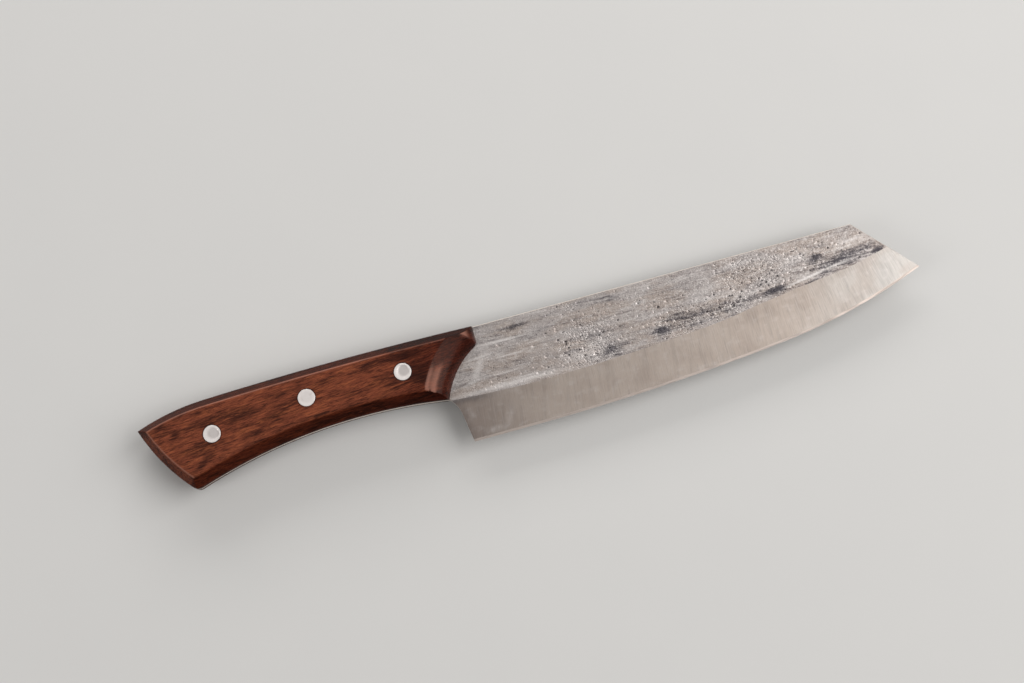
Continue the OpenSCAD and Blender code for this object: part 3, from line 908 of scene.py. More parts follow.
def rivet_steel(c):
    f = Finish("Satin rivet steel")
    line = f.noise(f.spread(5, 0.2, 5, turn=20))
    patch = f.noise(f.spread(2, 2, 2), detail=2)
    base = f.tint(
        c.rivet,
        (line, 0.4, 0.7, 0.25, c.ground),
        (patch, 0.5, 0.75, 0.2, c.forged_warm),
    )
    # Painted shade in the heads' hollows, darker where they are deeper.
    base = f.mix(f.math("MULTIPLY", f.named("hollow"), 0.6), base, c.forged)
    f.set(Base_Color=base, Metallic=0.4, Roughness=f.fit(line, 0.3, 0.7, 0.3, 0.38))
    f.set(Normal=f.bump(line, 0.006))
    return f.material


def pale_floor(c):
    f = Finish("Pale floor")
    tone = f.noise(f.spread(40, 40, 40))
    f.set(Base_Color=f.tint(c.floor, (tone, 0.3, 0.7, 0.04, (0.5, 0.5, 0.5))), Roughness=0.9)
    f.set(Specular_IOR_Level=0.1)
    return f.material


# Marks on the right side's flat, each by X, Y, half length, half width, turn and strength:
# forge scale, the share of pits and the rubbed, paler places
SOOT_RIGHT = (
    (58.5, 19.8, 6, 3.0, 8, 1.1), (78.5, 21.3, 3.6, 2.2, 0, 1.15), (88, 24, 12, 4.5, 3, 0.65),
    (104, 23.5, 16, 3, 4, 0.75), (124.5, 24.8, 6, 1.6, 4, 1.25), (143.8, 33.0, 3.4, 1.6, 4, 1.35),
    (152, 30.0, 17, 3.3, 5, 1.05), (158, 31.6, 10, 3, 4, 0.85), (166.8, 29.7, 3, 0.9, 8, 1.4),
    (24, 37.5, 5, 1.8, 0, 0.7), (37, 38.7, 4, 1.2, 0, 0.5), (17, 36, 3, 1.5, 50, 0.5),
    (141, 25.0, 9, 0.8, 8, 1.0), (88, 40, 9, 2, 0, 0.5), (62, 39, 12, 1.5, 0, 0.5),
    (105, 37, 14, 2.4, -3, 0.3), (4.3, 27.3, 2.5, 2.2, 15, 0.6), (23.1, 31.1, 2.5, 0.9, 1, 0.6),
)
PITS_RIGHT = (
    (51, 24, 9, 8, 0, 1.2), (47, 40, 6, 3, 0, 0.5), (88, 24, 12, 5, 3, 0.8),
    (106, 24, 14, 4, 4, 0.7), (115, 35, 10, 6, 0, 0.6), (124, 31, 8, 9, 0, 0.7),
    (10, 19, 16, 2.5, 0, 0.12), (74, 31, 12, 7, 0, 0.22), (140, 34, 10, 5, 0, 0.4),
    (38, 20, 11, 2.6, 0, 0.25),
)
SHINE_RIGHT = (
    (8.4, 26, 8, 1.8, 55, 0.6), (19, 34, 11, 0.5, -1, 0.9), (9.2, 29.9, 6, 0.45, 4, 0.85),
    (20.6, 28, 8, 0.4, 0, 0.75), (5.1, 21.4, 5, 0.4, 9, 0.75), (16.1, 22, 7, 0.45, -1, 0.7),
    (24, 18.8, 14, 0.4, -3, 0.7), (20, 17.4, 26, 1.1, 0, 0.75), (15, 6, 3.5, 1.0, 62, 0.6),
    (10, 3, 4, 0.4, 6, 0.8), (1.6, 10, 2, 0.8, 80, 0.5), (138, 26.4, 10, 0.45, 9, 1.1),
    (150, 28.2, 6, 0.4, 5, 0.9), (136, 35, 10, 1.5, 10, 0.5), (95, 30, 5, 2, 0, 0.4),
    (120, 38, 8, 3, 0, 0.3), (158, 36, 10, 1.0, 6, 0.6), (47.5, 20.5, 8, 3.2, 8, 0.5),
    (100, 32.5, 8, 2, 5, 0.4),
)
# X and Y of the deepest pits
DEEP_PITS_RIGHT = (
    (158.8, 41.2), (162.0, 37.7), (43.0, 40.8), (42.6, 26.1), (43.1, 24.5), (42.5, 21.7),
    (55.4, 26.1), (63.8, 29.8), (101.4, 29.4), (108.0, 27.3), (108.1, 29.9), (120.6, 29.8),
    (122.0, 28.8), (126.8, 30.0), (137.6, 35.8),
)
# Dark grain in the wood, in the same terms
DARK_GRAIN_RIGHT = (
    (-80, 30.5, 7, 1.6, 8, 0.9), (-105, 30.5, 2.2, 1.8, 0, 1.0), (-96.5, 18, 5, 1.2, 30, 0.9),
    (-63, 35, 6, 1.0, 6, 0.8), (-48, 35.3, 5, 0.9, 4, 0.7), (-30, 36.8, 9, 1.3, 0, 0.8),
    (-16, 36.6, 9, 2.4, -4, 1.0), (-13, 29, 5, 6, 0, 0.9), (-27, 31, 4, 0.8, 5, 0.7),
    (-70, 27.5, 7, 0.9, 5, 0.7), (-110, 34.5, 4, 2, 10, 0.7), (-7.5, 26.1, 0.5, 0.35, 0, 3.0),
    (-58, 38.5, 30, 1.2, 0, 0.4), (-3, 38, 4, 3, 0, 0.6), (-88, 24, 9, 0.9, 8, 0.5),
    (-45, 22, 12, 0.8, 3, 0.5),
)


def marked(marks, x, y):
    """The strongest of some soft marks at each point."""
    total = np.zeros(x.shape)
    for cx, cy, long, wide, turn, strength in marks:
        u, v = polar(math.radians(turn))
        a = ((x - cx) * u + (y - cy) * v) / long
        b = ((y - cy) * u - (x - cx) * v) / wide
        total = np.maximum(total, strength * np.exp(-(a * a + b * b) * 0.9))
    return total


def drift(x, y, across, along, seed):
    """Smooth noise from -1 to 1 over so many millimetres along and across the blade."""
    return np.array([noise.noise(Vector((a / along, b / across, seed))) for a, b in zip(x, y)])


def forge_marks(x, y, side):
    """Share of scale, pits and bare metal at each point of one side.

    The left side has the same marks as the right, but at other places."""
    warp_x = x + 3.0 * drift(x, y, 3, 7, 3.1 * side)
    warp_y = y + 1.1 * drift(x, y, 2, 5, 7.7 * side)
    if side > 0:
        places = [(SOOT_RIGHT, warp_x, warp_y), (PITS_RIGHT, warp_x, warp_y), (SHINE_RIGHT, x, y)]
    else:
        places = [
            (SOOT_RIGHT, 172 - warp_x, warp_y), (PITS_RIGHT, 168 - warp_x, warp_y),
            (SHINE_RIGHT, x + 11, y + 2),
        ]
    return [marked(*place) for place in places]


def scatter_pits(plan, side):
    """Pits on one side's flat: X, Y, radius, depth and how dark each one's painted shade is."""
    k = plan.k
    rng = np.random.default_rng(11 if side > 0 else 23)
    low, high = (plan.neck[0], 14.0), (k.blade_length, k.blade_h)
    count = int(k.pits_per_mm2 * (high[0] - low[0]) * (high[1] - low[1]))
    x, y = rng.uniform(low[0], high[0], count), rng.uniform(low[1], high[1], count)
    chance, r, steep, dark = (rng.random(count) for _ in range(4))
    keep = chance < forge_marks(x, y, side)[1] + 0.006
    r = k.pit_r * (1 + 1.6 * r ** 3)
    depth = r * k.pit_slope * (0.4 + 0.9 * steep)
    pits = np.stack([x, y, r, depth, dark ** 3], 1)[keep]
    if side > 0:
        deep = [(a, b, DEEP_PIT_R, DEEP_PIT_R * DEEP_PIT_SLOPE, 1.0) for a, b in DEEP_PITS_RIGHT]
        pits = np.concatenate([deep, pits])
    foot, d, _ = plan.edge_place(pits[:, 0], pits[:, 1])
    clear = np.minimum(d - plan.bevel_at(foot), plan.from_spine(pits[:, 0], pits[:, 1]) - 0.4)
    clear = np.minimum(clear, -plan.wood_sides(pits[:, 0], pits[:, 1])[3:].min(0) - 0.6)
    return pits[clear > pits[:, 2]]


def pit_depths(pits, x, y):
    """Depth of the pits, their painted shade and the painted highlight round their rims at each point.
    """
    depth, dark, rim = np.zeros(x.shape), np.zeros(x.shape), np.zeros(x.shape)
    for px, py, r, deep, gloom in pits:
        near = np.flatnonzero((np.abs(x - px) < 1.3 * r) & (np.abs(y - py) < 1.3 * r))
        t = np.hypot(x[near] - px, (y[near] - py) * 1.15) / r
        bowl = np.where(t < 1, (1 - t * t) ** 2, 0) - 0.12 * np.exp(-((t - 1.05) / 0.14) ** 2)
        depth[near] += deep * bowl
        # Painted shade in each pit's bowl, darkest at its middle.
        dark[near] = np.maximum(dark[near], gloom * np.clip(1.2 - t, 0, 1))
        # Painted highlight in a ring round each pit's rim.
        rim[near] = np.maximum(rim[near], np.exp(-((t - 1.12) / 0.2) ** 2))
    return depth, dark, rim


def pit_points(pits):
    """Points that carry the pits' bowls."""
    rings = [pits[:, :2]]
    for share, count in ((0.45, 6), (0.8, 8), (1.08, 8)):
        for turn in np.linspace(0, 2 * math.pi, count, endpoint=False):
            rings.append(pits[:, :2] + share * pits[:, 2:3] * polar(turn + share))
    return np.concatenate(rings)


def blade_side(plan, outline, holes, lines, side):
    """One side of the blade: points, triangles, each triangle's finish and each point's marks."""
    k = plan.k
    step = plan.blade_grid
    fixed = np.concatenate([outline, *lines, *holes])
    pits = scatter_pits(plan, side)
    low, high = (plan.butt_x, 0), (k.blade_length, plan.crown_h)

    def on_flat(points):
        x, y = points[:, 0], points[:, 1]
        foot, d, _ = plan.edge_place(x, y)
        return (d > plan.bevel_at(foot)) & (plan.wood_sides(x, y)[3:].min(0) < 1.0)

    bowls = clear_of(pit_points(pits), fixed, 0.15)
    bowls = thin(bowls, 0.13)
    fine = hexagonal(low, high, step)
    fine = clear_of(fine[on_flat(fine)], np.concatenate([fixed, bowls]), step * 0.6)
    coarse = hexagonal(low, high, 1.6)
    coarse = clear_of(coarse[~on_flat(coarse)], np.concatenate([fixed, fine]), 0.8)
    points = np.concatenate([bowls, fine, coarse])
    points = points[inside(points, outline)]
    for hole in holes:
        points = points[~inside(points, hole)]
    verts, faces = triangles(outline, holes, lines, points)

    x, y = verts[:, 0], verts[:, 1]
    foot, d, _ = plan.edge_place(x, y)
    above = d - plan.bevel_at(foot)
    front = plan.wood_sides(x, y)[3:].min(0)
    free = smooth(plan.from_spine(x, y), 0.3, 1.4) * smooth(-front, 0.0, 1.2)
    wave = 0.5 + 0.4 * (drift(x, y, 5, 13, 9 * side) + 0.5 * drift(x, y, 2.2, 4, 5 * side))
    depth, dark, rim = pit_depths(pits, x, y)
    relief = k.forging_relief * wave * smooth(above, 0.0, 1.5) + depth * smooth(above, 0.0, 0.3)
    base = plan.blade_heights(x, y).min(0)
    # The heel's and hollow's corners are broken a little too, as by a stone.
    near = np.where((x < 12) & (y < plan.neck[1] + 0.5), plan.from_heel(x, y), FAR)
    near = np.where(x < plan.neck[0] + 0.01, FAR, near)
    base = np.maximum(base - HEEL_BREAK_SLOPE * np.maximum(0, HEEL_BREAK - near), k.edge_t / 2)
    z = base - free * relief
    middle = verts[faces].mean(1)
    kinds = plan.blade_heights(middle[:, 0], middle[:, 1]).argmin(0)
    soot, rough, bare_steel_and_rim_highlight = forge_marks(x, y, side)
    # The pits' rims get a painted highlight, weaker where there is more scale, added to the bare steel.
    bare_steel_and_rim_highlight = np.maximum(bare_steel_and_rim_highlight, rim * free * (0.24 - 0.16 * np.minimum(soot, 1)))
    place = np.stack([foot + (0 if side > 0 else LEFT_SIDE_SHIFT), d, above], 1)
    # The marks carry the painted shade in the pits, and the bare steel together with the painted
    # highlight round the pits' rims.
    return np.stack([x, y, side * z], 1), faces, kinds, {
        "soot": soot, "rough": rough, "bare_steel_and_rim_highlight": bare_steel_and_rim_highlight, "dark": dark * free, "edge_place": place,
    }


def break_line(plan):
    """Where the broken corner of the spine and the angled line meets the flat or the wide bevel."""
    k = plan.k
    along = plan.angled_along
    straight = 240
    rim = np.concatenate([
        np.linspace([plan.nose_x, k.blade_h], plan.shoulder, straight),
        np.linspace(plan.shoulder, plan.tip, 120)[1:],
    ])
    corner = straight - 1
    inward = np.where(np.arange(len(rim))[:, None] < corner, (0, -1), (along[1], -along[0]))
    inward[corner] = ((along[0] - 1) / along[1], -1)
    near, far = np.zeros(len(rim)), np.full(len(rim), k.spine_break + 0.01)
    for _ in range(20):
        middle = (near + far) / 2
        flat, wide, _, broken = plan.blade_heights(*(rim + middle[:, None] * inward).T)
        cuts = broken < np.minimum(flat, wide) - 1e-4
        near, far = np.where(cuts, middle, near), np.where(cuts, far, middle)
    # The broken corner narrows to nothing where the wide bevel runs out to the angled line.
    kept = near > 0.02
    return (rim + near[:, None] * inward)[kept]


def build_blade(settings):
    plan = Plan(settings)
    k, c = plan.k, settings.finishes
    outline = plan.blade_outline()
    holes = plan.rings(plan.bore_r, TANG_HOLE_POINTS)
    feet = np.linspace(plan.neck[0] - 1, k.blade_length + 0.5, 260)
    bevel_line = plan.edge_point(feet, plan.bevel_at(feet))
    cut_line = plan.edge_point(feet, np.full(len(feet), k.cut_w))
    lines = [bevel_line, cut_line, break_line(plan)]
    top, top_faces, top_kinds, top_marks = blade_side(plan, outline, holes, lines, 1)
    low, low_faces, low_kinds, low_marks = blade_side(plan, outline, holes, lines, -1)
    under = {(round(v[0], 4), round(v[1], 4)): i + len(top) for i, v in enumerate(low)}
    rim = rim_of(top_faces)
    below = {i: under[(round(top[i][0], 4), round(top[i][1], 4))] for edge in rim for i in edge}
    walls = [(below[a], below[b], b, a) for a, b in rim]
    faces = [*top_faces.tolist(), *(low_faces[:, ::-1] + len(top)).tolist(), *walls]
    kinds = np.concatenate([top_kinds, low_kinds, np.full(len(walls), GROUND)])
    materials = [
        forged_steel(c), satin_bevel(c),
        ground_steel(c, "Honed edge", c.honed, 0.42),
        ground_steel(c, "Ground spine", c.ground, 0.36),
    ]
    piece = new_object("forged_blade", plan, np.concatenate([top, low]), faces, materials, kinds)
    mark_sharp(piece, 30, kinds_too=True)
    for name in top_marks:
        mark(piece, name, np.concatenate([top_marks[name], low_marks[name]]))
    ride(piece, "forged_steel", "blade")


# Handle

def roll_rows(plan, run):
    """Distances inward at which a roll gets a row of points: close together where it bends."""
    end, r, c = plan.roll_arc(run)
    foot_lean = math.asin(c[0] / r)
    leans = np.linspace(foot_lean, plan.k.front_slope, 12)[1:]
    on_arc = c[0] - r * np.sin(leans)
    shares = np.array([0.2, 0.4, 0.6, 0.8, 0.93, 0.97, 1.0, 1.03, 1.07, 1.2])
    return [0.05, *on_arc, *(end[0] + plan.k.front_land * shares)]


def side_rows(plan):
    """Rows of points along each side of the wood, where its facets and rolls bend."""
    k = plan.k
    step = plan.handle_grid
    # Centre, radius, the way inward, first and last turn, side and width of each facet
    outline_turns = [
        (plan.back_c, k.back_r, 1, turn_of([plan.nose_x, k.blade_h], plan.back_c),
         turn_of(plan.drop_point, plan.back_c), 0, k.facet_w),
        (plan.drop_c, k.drop_r, 1, turn_of(plan.drop_point, plan.drop_c),
         turn_of(plan.butt_corner, plan.drop_c) + 0.08, 0, k.facet_w),
        (plan.grip_c, k.grip_r, -1, turn_of([plan.butt_x, plan.belly_y(plan.butt_x)], plan.grip_c),
         turn_of([plan.nose_x, plan.belly_y(plan.nose_x)], plan.grip_c), 1, k.facet_w),
        (plan.butt_c, k.butt_r, 1, math.pi + k.butt_lean - 0.08,
         math.pi + k.butt_lean + 0.55, 2, k.butt_facet_w),
    ]
    shares = (
        0.02, 0.045, 0.08, 0.15, 0.3, 0.5, 0.65, 0.76, 0.84,
        0.9, 0.95, 1.0, 1.05, 1.1, 1.18, 1.3, 1.5,
    )
    families = []
    for centre, r, sign, start, end, side, width in outline_turns:
        rows = [arc_points(centre, r - sign * s * width, start, end, step) for s in shares]
        families.append((side, np.concatenate(rows)))
    start = turn_of(plan.neck, plan.front_c) + 0.2
    end = turn_of([plan.nose_x, k.blade_h], plan.front_c) - 0.3
    front = roll_rows(plan, k.front_roll)
    rows = [arc_points(plan.front_c, k.front_r + s, start, end, 0.55) for s in front]
    families.append((3, np.concatenate(rows)))
    ys = np.arange(plan.nose_c[1] - 12, k.blade_h, 0.5)
    nose = roll_rows(plan, k.nose_roll)
    rows = [np.stack([np.full(len(ys), plan.nose_x - s), ys], 1) for s in nose]
    families.append((4, np.concatenate(rows)))
    return families


def crease_rows(plan):
    """Rows of points on and beside the creases where two facets or rolls meet."""
    k = plan.k

    def crease(one, other, start, end):
        """The points between two rows of ends where two sides are equally high."""
        below = plan.wood_heights(*start.T)
        first = below[one] < below[other]
        for _ in range(24):
            middle = (start + end) / 2
            heights = plan.wood_heights(*middle.T)
            same = ((heights[one] < heights[other]) == first)[:, None]
            start, end = np.where(same, middle, start), np.where(same, end, middle)
        path = (start + end) / 2
        heights = plan.wood_heights(*path.T)
        path = path[(heights[one] < heights.min(0) + 0.05) & (heights[one] < plan.face_z + 0.3)]
        if len(path) < 3:
            return []
        along = np.gradient(path, axis=0)
        across = np.stack([-along[:, 1], along[:, 0]], 1) / np.hypot(*along.T)[:, None]
        return [path + away * across for away in (0, 0.13, -0.13, 0.3, -0.3, 0.55, -0.55)]

    def column(xs, y_of):
        return np.stack([xs, [y_of(x) for x in xs]], 1)

    ahead = np.arange(plan.neck[0] - 10, k.nose_ahead, 0.22)
    behind = np.arange(plan.butt_x, plan.butt_x + 22, 0.22)
    rows = []
    for xs, side, y_of, inward in (
        (ahead, 0, plan.spine_y, -9), (ahead, 1, plan.belly_y, 12),
        (behind, 0, plan.spine_y, -9), (behind, 1, plan.belly_y, 12),
    ):
        others = (3, 4) if xs is ahead else (2,)
        start = column(xs, y_of)
        for other in others:
            rows += crease(side, other, start, start + (0, inward))
    ys = np.arange(k.blade_h - 12, k.blade_h, 0.22)
    start = np.stack([0 * ys - 12, ys], 1)
    rows += crease(3, 4, start, start + (12 + plan.nose_x, 0))
    return rows


def scale_points(plan, outline):
    """Points inside the wood: rows along its sides, rings round its rivets and a plain grid between."""
    kept = outline
    for i in range(len(RIVETS)):
        for extra in (0.05, 0.12, 0.2, 0.3, 0.6):
            kept = np.concatenate([kept, plan.ring(i, plan.seat_r + extra, plan.k.segments)])
    for points in crease_rows(plan):
        points = points[inside(points, outline)]
        points = points[plan.wood_sides(*points.T).min(0) > 0.05]
        kept = np.concatenate([kept, thin(clear_of(points, kept[len(outline):], 0.1), 0.1)])
    for side, points in side_rows(plan):
        points = points[inside(points, outline)]
        x, y = points[:, 0], points[:, 1]
        sides, heights = plan.wood_sides(x, y), plan.wood_heights(x, y)
        active = (sides.min(0) > 0.012) & (heights[side] <= heights.min(0) + 0.25)
        # Rows of one side may lie close together, but not close to another side's.
        kept = np.concatenate([kept, clear_of(points[active], kept[len(outline):], 0.16)])
    low, high = outline.min(0), outline.max(0)
    grid = hexagonal(low, high, plan.handle_grid * 1.3)
    grid = grid[inside(grid, outline)]
    kept = np.concatenate([kept, clear_of(grid, kept, plan.handle_grid * 0.9)])
    kept = kept[len(outline):]
    for i in range(len(RIVETS)):
        away = np.hypot(*(kept - plan.rivet_at(i)).T)
        kept = kept[away > plan.seat_r + 0.03]
    return kept


def scale_mesh(plan, side):
    """Points and faces of one scale, with its seats and bores for the rivets."""
    m = plan.k.segments
    seats, bores = plan.rings(plan.seat_r, m), plan.rings(plan.bore_r, m)
    outline = plan.handle_outline(plan.handle_grid)
    top, top_faces = triangles(outline, seats, points=scale_points(plan, outline))
    low, low_faces = triangles(outline, bores)
    n, start_low = len(outline), len(top)
    verts = [np.column_stack([top, plan.wood_top(top[:, 0], top[:, 1])])]
    verts.append(np.column_stack([low, np.full(len(low), plan.tang_z)]))
    faces = [*top_faces.tolist(), *(low_faces[:, ::-1] + start_low).tolist()]
    for i in range(n):
        j = (i + 1) % n
        faces.append((start_low + i, start_low + j, j, i))
    total = len(top) + len(low)
    for i, rings in enumerate(zip(seats, bores)):
        verts += [np.column_stack([ring, np.full(m, plan.seat_z)]) for ring in rings]
        rows = [n + i * m, total, total + m, start_low + n + i * m]
        total += 2 * m
        for upper, lower in zip(rows, rows[1:]):
            for a in range(m):
                b = (a + 1) % m
                faces.append((upper + a, upper + b, lower + b, lower + a))
    verts = np.concatenate(verts)
    # Where the front meets the blade the wall has no height, so its points are joined.
    joined = {start_low + i: i for i in range(n) if verts[i][2] - plan.tang_z < 1e-4}
    clean = []
    for f in faces:
        g = [joined.get(v, v) for v in f]
        g = [v for i, v in enumerate(g) if v != g[i - 1]]
        if len(g) > 2:
            clean.append(g)
    if side < 0:
        verts = verts * (1, 1, -1)
        clean = [f[::-1] for f in clean]
    used = sorted({v for f in clean for v in f})
    place = {v: i for i, v in enumerate(used)}
    return verts[used], [[place[v] for v in f] for f in clean]


def scale_marks(plan, verts, side):
    """Stain at the rivets, dark grain, painted shade and painted highlight at each point of a scale."""
    x, y = verts[:, 0], verts[:, 1]
    centres = [plan.rivet_at(i) for i in range(len(RIVETS))]
    away = np.min([np.hypot(*(verts[:, :2] - c).T) for c in centres], 0) - plan.seat_r
    grain_x = (x if side > 0 else -126 - x) + 1.2 * drift(x, y, 2, 5, 4.1)
    grain_y = y + 0.7 * drift(x, y, 2, 6, 6.3)
    spine, belly, butt, front, nose = plan.wood_heights(x, y)
    front_s, nose_s = plan.wood_sides(x, y)[3:]
    # Painted shade: the facets are painted darker than the face, and so are the rolls' feet at the
    # blade, a dark line across the painted highlight on the right side's front and the upper part of
    # both fronts.
    facets = [
        share * (1 - smooth(height, plan.face_z - blur, plan.face_z))
        for height, share, blur in ((spine, 1.0, 0.6), (butt, 0.4, 0.6), (belly, 1.0, 1.2))
    ]
    foot = 0.6 * (1 - smooth(np.minimum(front_s, nose_s + 1.5), 3.6, 5.4))
    highlight_gap = 0.9 * np.exp(-((front_s - 7.2) / 0.4) ** 2) * smooth(y, 32, 28) if side > 0 else 0 * x
    upper = 0.7 * smooth(y, 28, 33) * smooth(nose - front, 0, 0.4)
    upper = upper * (1 - smooth(front, plan.face_z - 0.1, plan.face_z + 0.1))
    # Painted highlight: the ridges along spine and butt are painted paler, up to where the front
    # begins.
    ridge = np.abs(np.minimum(spine, butt) - plan.face_z) / 0.42
    ridge_highlight = np.exp(-ridge * ridge) * (np.abs(verts[:, 2]) > plan.face_z - 0.8)
    ridge_highlight = ridge_highlight * (np.minimum(front, nose) > plan.face_z) * (1 - 0.6 * smooth(x, -34, -18))
    # The even slopes of the front and the nose get the painted highlight too.
    strip = 0.8 * smooth(front_s, 4.6, 5.4) * smooth(front_s, 9.3, 8.9) * smooth(y, 32, 27)
    strip = np.where((front < spine) & (front < belly) & (front < nose), strip, 0) - 0.9 * highlight_gap
    # Painted highlight on the nose's upper corner.
    corner = 0.9 * smooth(front - nose, 0, 0.3) * (nose < plan.face_z)
    corner = corner * smooth(nose_s, 1.5, 4) * smooth(spine - nose, 0, 0.3)
    return {
        "rivet_edge": np.clip(1 - away / plan.k.rivet_stain, 0, 1),
        "dark_grain": marked(DARK_GRAIN_RIGHT, grain_x, grain_y),
        "shade": np.max([*facets, foot, highlight_gap, upper], 0),
        "painted_highlight": np.max([ridge_highlight, strip, corner], 0),
    }


def build_scale(plan, c, name, side, shift):
    verts, faces = scale_mesh(plan, side)
    # The face and the front are polished, the facets and walls only oiled.
    middle = np.array([verts[f].mean(0) for f in faces])
    spine, belly, butt, front, nose = plan.wood_heights(middle[:, 0], middle[:, 1])
    sides = np.min([spine, belly, butt], 0)
    oiled = (sides < plan.face_z) & (sides < np.minimum(front, nose))
    title = name.replace("_", " ")
    materials = [
        rosewood(c, title + " polished", shift, 0.13), rosewood(c, title + " oiled", shift, 0.02),
    ]
    piece = new_object(name, plan, verts, faces, materials, oiled)
    mark_sharp(piece, 40)
    for key, values in scale_marks(plan, verts, side).items():
        mark(piece, key, values)
    return piece


def build_scales(settings):
    plan = Plan(settings)
    right = build_scale(plan, settings.finishes, "right_wood_scale", 1, (0, 0, 0))
    ride(right, "rosewood", "right_scale")
    left = build_scale(plan, settings.finishes, "left_wood_scale", -1, (5, 3, 40))
    ride(left, "rosewood", "left_scale")


def turned(name, plan, centre, profile, material):
    """A piece turned about an upright axis from a profile of radius, height and shift."""
    m = plan.k.segments
    turns = np.linspace(0, 2 * math.pi, m, endpoint=False)
    verts, rows = [], []
    for r, z, shift in profile:
        x, y = centre + shift
        if r == 0:
            rows.append([len(verts)])
            verts.append((x, y, z))
        else:
            rows.append(list(range(len(verts), len(verts) + m)))
            verts.extend((x + r * math.cos(t), y + r * math.sin(t), z) for t in turns)
    faces = []
    for upper, lower in zip(rows, rows[1:]):
        for a in range(m):
            b = (a + 1) % m
            if len(upper) == 1:
                faces.append((upper[0], lower[a], lower[b]))
            elif len(lower) == 1:
                faces.append((upper[a], lower[0], upper[b]))
            else:
                faces.append((upper[a], lower[a], lower[b], upper[b]))
    piece = new_object(name, plan, verts, faces, [material])
    mark_sharp(piece, 40)
    verts = np.array(verts)
    depth = plan.face_z - np.abs(verts[:, 2])
    away = np.hypot(*(verts[:, :2] - centre).T)
    # The hollow's depth, which the finish turns into painted shade.
    mark(piece, "hollow", np.where(away < plan.k.dish_r, np.clip(depth / plan.k.dish, 0, 1), 0))
    return piece


def head_profile(plan, hollow, inner_r):
    """The head from its middle, up the wall of its hollow, over its rounded rim, to its underside."""
    k = plan.k
    *lean, share = hollow
    lean, deep = np.array(lean), share * k.dish
    flat_r = k.head_d / 2 - k.head_round
    rows = [(r, plan.face_z - deep, lean) for r in (0.0, 0.5 * k.dish_floor_r, 0.9 * k.dish_floor_r)]
    for t in np.linspace(0.1, 1, 9):
        r = k.dish_floor_r + t * (k.dish_r - k.dish_floor_r)
        rows.append((r, plan.face_z - deep * (1 - smooth(t, 0, 1)), (1 - t) * lean))
    rows += [(r, plan.face_z, 0 * lean) for r in (k.dish_r + 0.05, flat_r)]
    for turn in (18, 36, 54, 72, 90):
        t = math.radians(turn)
        height = plan.face_z - k.head_round * (1 - math.cos(t))
        rows.append((flat_r + k.head_round * math.sin(t), height, 0 * lean))
    return rows + [(k.head_d / 2, plan.seat_z, 0 * lean), (inner_r, plan.seat_z, 0 * lean)]


def build_rivets(settings):
    plan = Plan(settings)
    k = plan.k
    material = rivet_steel(settings.finishes)
    pin_bottom = -plan.seat_z + k.pin_gap
    shank_top = plan.seat_z - k.shank_gap
    bore_r = k.pin_d / 2 + k.pin_play
    for i, name in enumerate(RIVETS):
        centre = plan.rivet_at(i)
        shank = [(k.pin_d / 2, pin_bottom, 0.0), (0.0, pin_bottom, 0.0)]
        profile = head_profile(plan, HOLLOWS[i], k.pin_d / 2) + shank
        pin = turned(name + "_rivet_pin_steel", plan, centre, profile, material)
        ride(pin, "rivet_steel", name + "_rivet_pin")
        shank = [
            (k.shank_d / 2, -shank_top, 0.0), (bore_r, -shank_top, 0.0),
            (bore_r, plan.seat_z, 0.0), (0.0, plan.seat_z, 0.0),
        ]
        profile = head_profile(plan, HOLLOWS[-i], k.shank_d / 2) + shank
        profile = [(r, -z, shift) for r, z, shift in profile][::-1]
        sleeve = turned(name + "_rivet_sleeve_steel", plan, centre, profile, material)
        ride(sleeve, "rivet_steel", name + "_rivet_sleeve")


# Stage

FLOOR_HALF = 3.0
# Name, place, target, size and power of each lamp, in metres and watts
LAMPS = (
    ("tip_softbox", (1.1, -0.15, 1.0), (0.02, 0, 0), (1.4, 1.2), 18),
    ("back_softbox", (0.1, 1.2, 0.55), (0, 0, 0), (1.4, 0.5), 9),
    ("butt_softbox", (-1.1, -0.2, 0.7), (0, 0, 0), (0.5, 0.6), 3),
)
STUDIO_LIGHT = 0.32
CAMERA_PLACE, CAMERA_TARGET = (-0.0358, -0.0912, 0.5315), (-0.0072, 0.0113, 0.0085)


def lamp(name, place, target, size, power):
    data = bpy.data.lights.new(name, "AREA")
    data.shape = "RECTANGLE"
    data.size, data.size_y = size
    data.energy = power
    made = bpy.data.objects.new(name, data)
    made.location = place
    made.rotation_euler = (Vector(target) - Vector(place)).to_track_quat("-Z", "Y").to_euler()
    bpy.context.scene.collection.objects.link(made)


def build_stage(settings):
    scene = bpy.context.scene
    mesh = bpy.data.meshes.new("floor")
    corners = [(x * FLOOR_HALF, y * FLOOR_HALF, 0) for x, y in ((-1, -1), (1, -1), (1, 1), (-1, 1))]
    mesh.from_pydata(corners, [], [(0, 1, 2, 3)])
    mesh.materials.append(pale_floor(settings.finishes))
    floor = bpy.data.objects.new("floor", mesh)
    scene.collection.objects.link(floor)

    for row in LAMPS:
        lamp(*row)

    world = bpy.data.worlds.new("studio")
    world.use_nodes = True
    sky = world.node_tree.nodes["Background"].inputs
    sky["Color"].default_value = (1, 1, 1, 1)
    sky["Strength"].default_value = STUDIO_LIGHT
    scene.world = world

    data = bpy.data.cameras.new("camera")
    data.lens, data.sensor_width = 50, 36
    camera = bpy.data.objects.new("camera", data)
    camera.location = CAMERA_PLACE
    aim = Vector(CAMERA_TARGET) - camera.location
    camera.rotation_euler = aim.to_track_quat("-Z", "Y").to_euler()
    scene.collection.objects.link(camera)
    scene.camera = camera
    scene.view_settings.view_transform = "Standard"


# Operators and panel

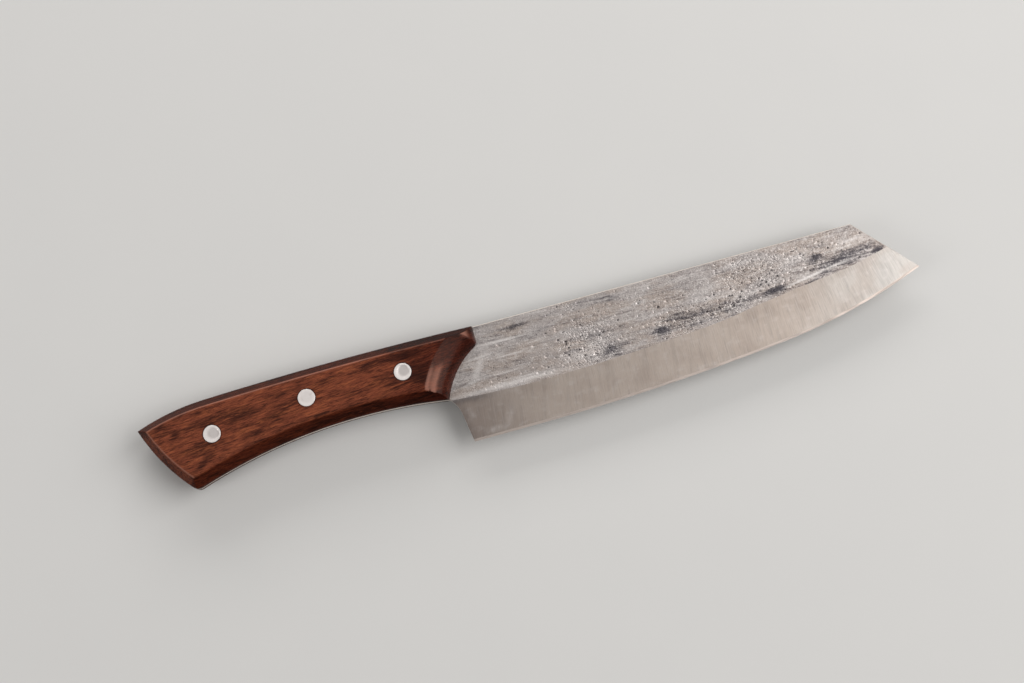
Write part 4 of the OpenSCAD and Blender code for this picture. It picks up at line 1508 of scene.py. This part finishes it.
class KNIFE_OT_blade(bpy.types.Operator):
    """Make the forged blade with its bevels and full tang"""
    bl_idname = "knife.blade"
    bl_label = "Forged blade"

    def execute(self, context):
        build_blade(context.scene.knife)
        return {"FINISHED"}


class KNIFE_OT_scales(bpy.types.Operator):
    """Make the two wooden scales of the handle"""
    bl_idname = "knife.scales"
    bl_label = "Wooden scales"

    def execute(self, context):
        build_scales(context.scene.knife)
        return {"FINISHED"}


class KNIFE_OT_rivets(bpy.types.Operator):
    """Make the pins and sleeves of the three rivets"""
    bl_idname = "knife.rivets"
    bl_label = "Rivets"

    def execute(self, context):
        build_rivets(context.scene.knife)
        return {"FINISHED"}


class KNIFE_OT_stage(bpy.types.Operator):
    """Set up the floor, the studio light and the camera"""
    bl_idname = "knife.stage"
    bl_label = "Stage"

    def execute(self, context):
        build_stage(context.scene.knife)
        return {"FINISHED"}


class KNIFE_PT_panel(bpy.types.Panel):
    """Lists the pieces of the knife, its sizes and its colours"""
    bl_idname = "KNIFE_PT_panel"
    bl_label = "Knife"
    bl_space_type = "VIEW_3D"
    bl_region_type = "UI"
    bl_category = "Knife"

    def draw(self, context):
        settings = context.scene.knife
        for operator in OPERATORS:
            self.layout.operator(operator.bl_idname)
        for title in ("blade", "handle", "rivets", "finishes"):
            group = getattr(settings, title)
            box = self.layout.box()
            box.label(text=title.capitalize())
            for key in group.__annotations__:
                box.prop(group, key)


OPERATORS = (KNIFE_OT_stage, KNIFE_OT_blade, KNIFE_OT_scales, KNIFE_OT_rivets)
CLASSES = (
    KnifeBladeSizes, KnifeHandleSizes, KnifeRivetSizes, KnifeFinishes, KnifeSettings,
    *OPERATORS, KNIFE_PT_panel,
)


def register():
    for cls in CLASSES:
        bpy.utils.register_class(cls)
    bpy.types.Scene.knife = PointerProperty(type=KnifeSettings)


def unregister():
    del bpy.types.Scene.knife
    for cls in reversed(CLASSES):
        bpy.utils.unregister_class(cls)


def main():
    register()
    bpy.ops.knife.stage()
    bpy.ops.knife.blade()
    bpy.ops.knife.scales()
    bpy.ops.knife.rivets()


if __name__ == "__main__":
    main()
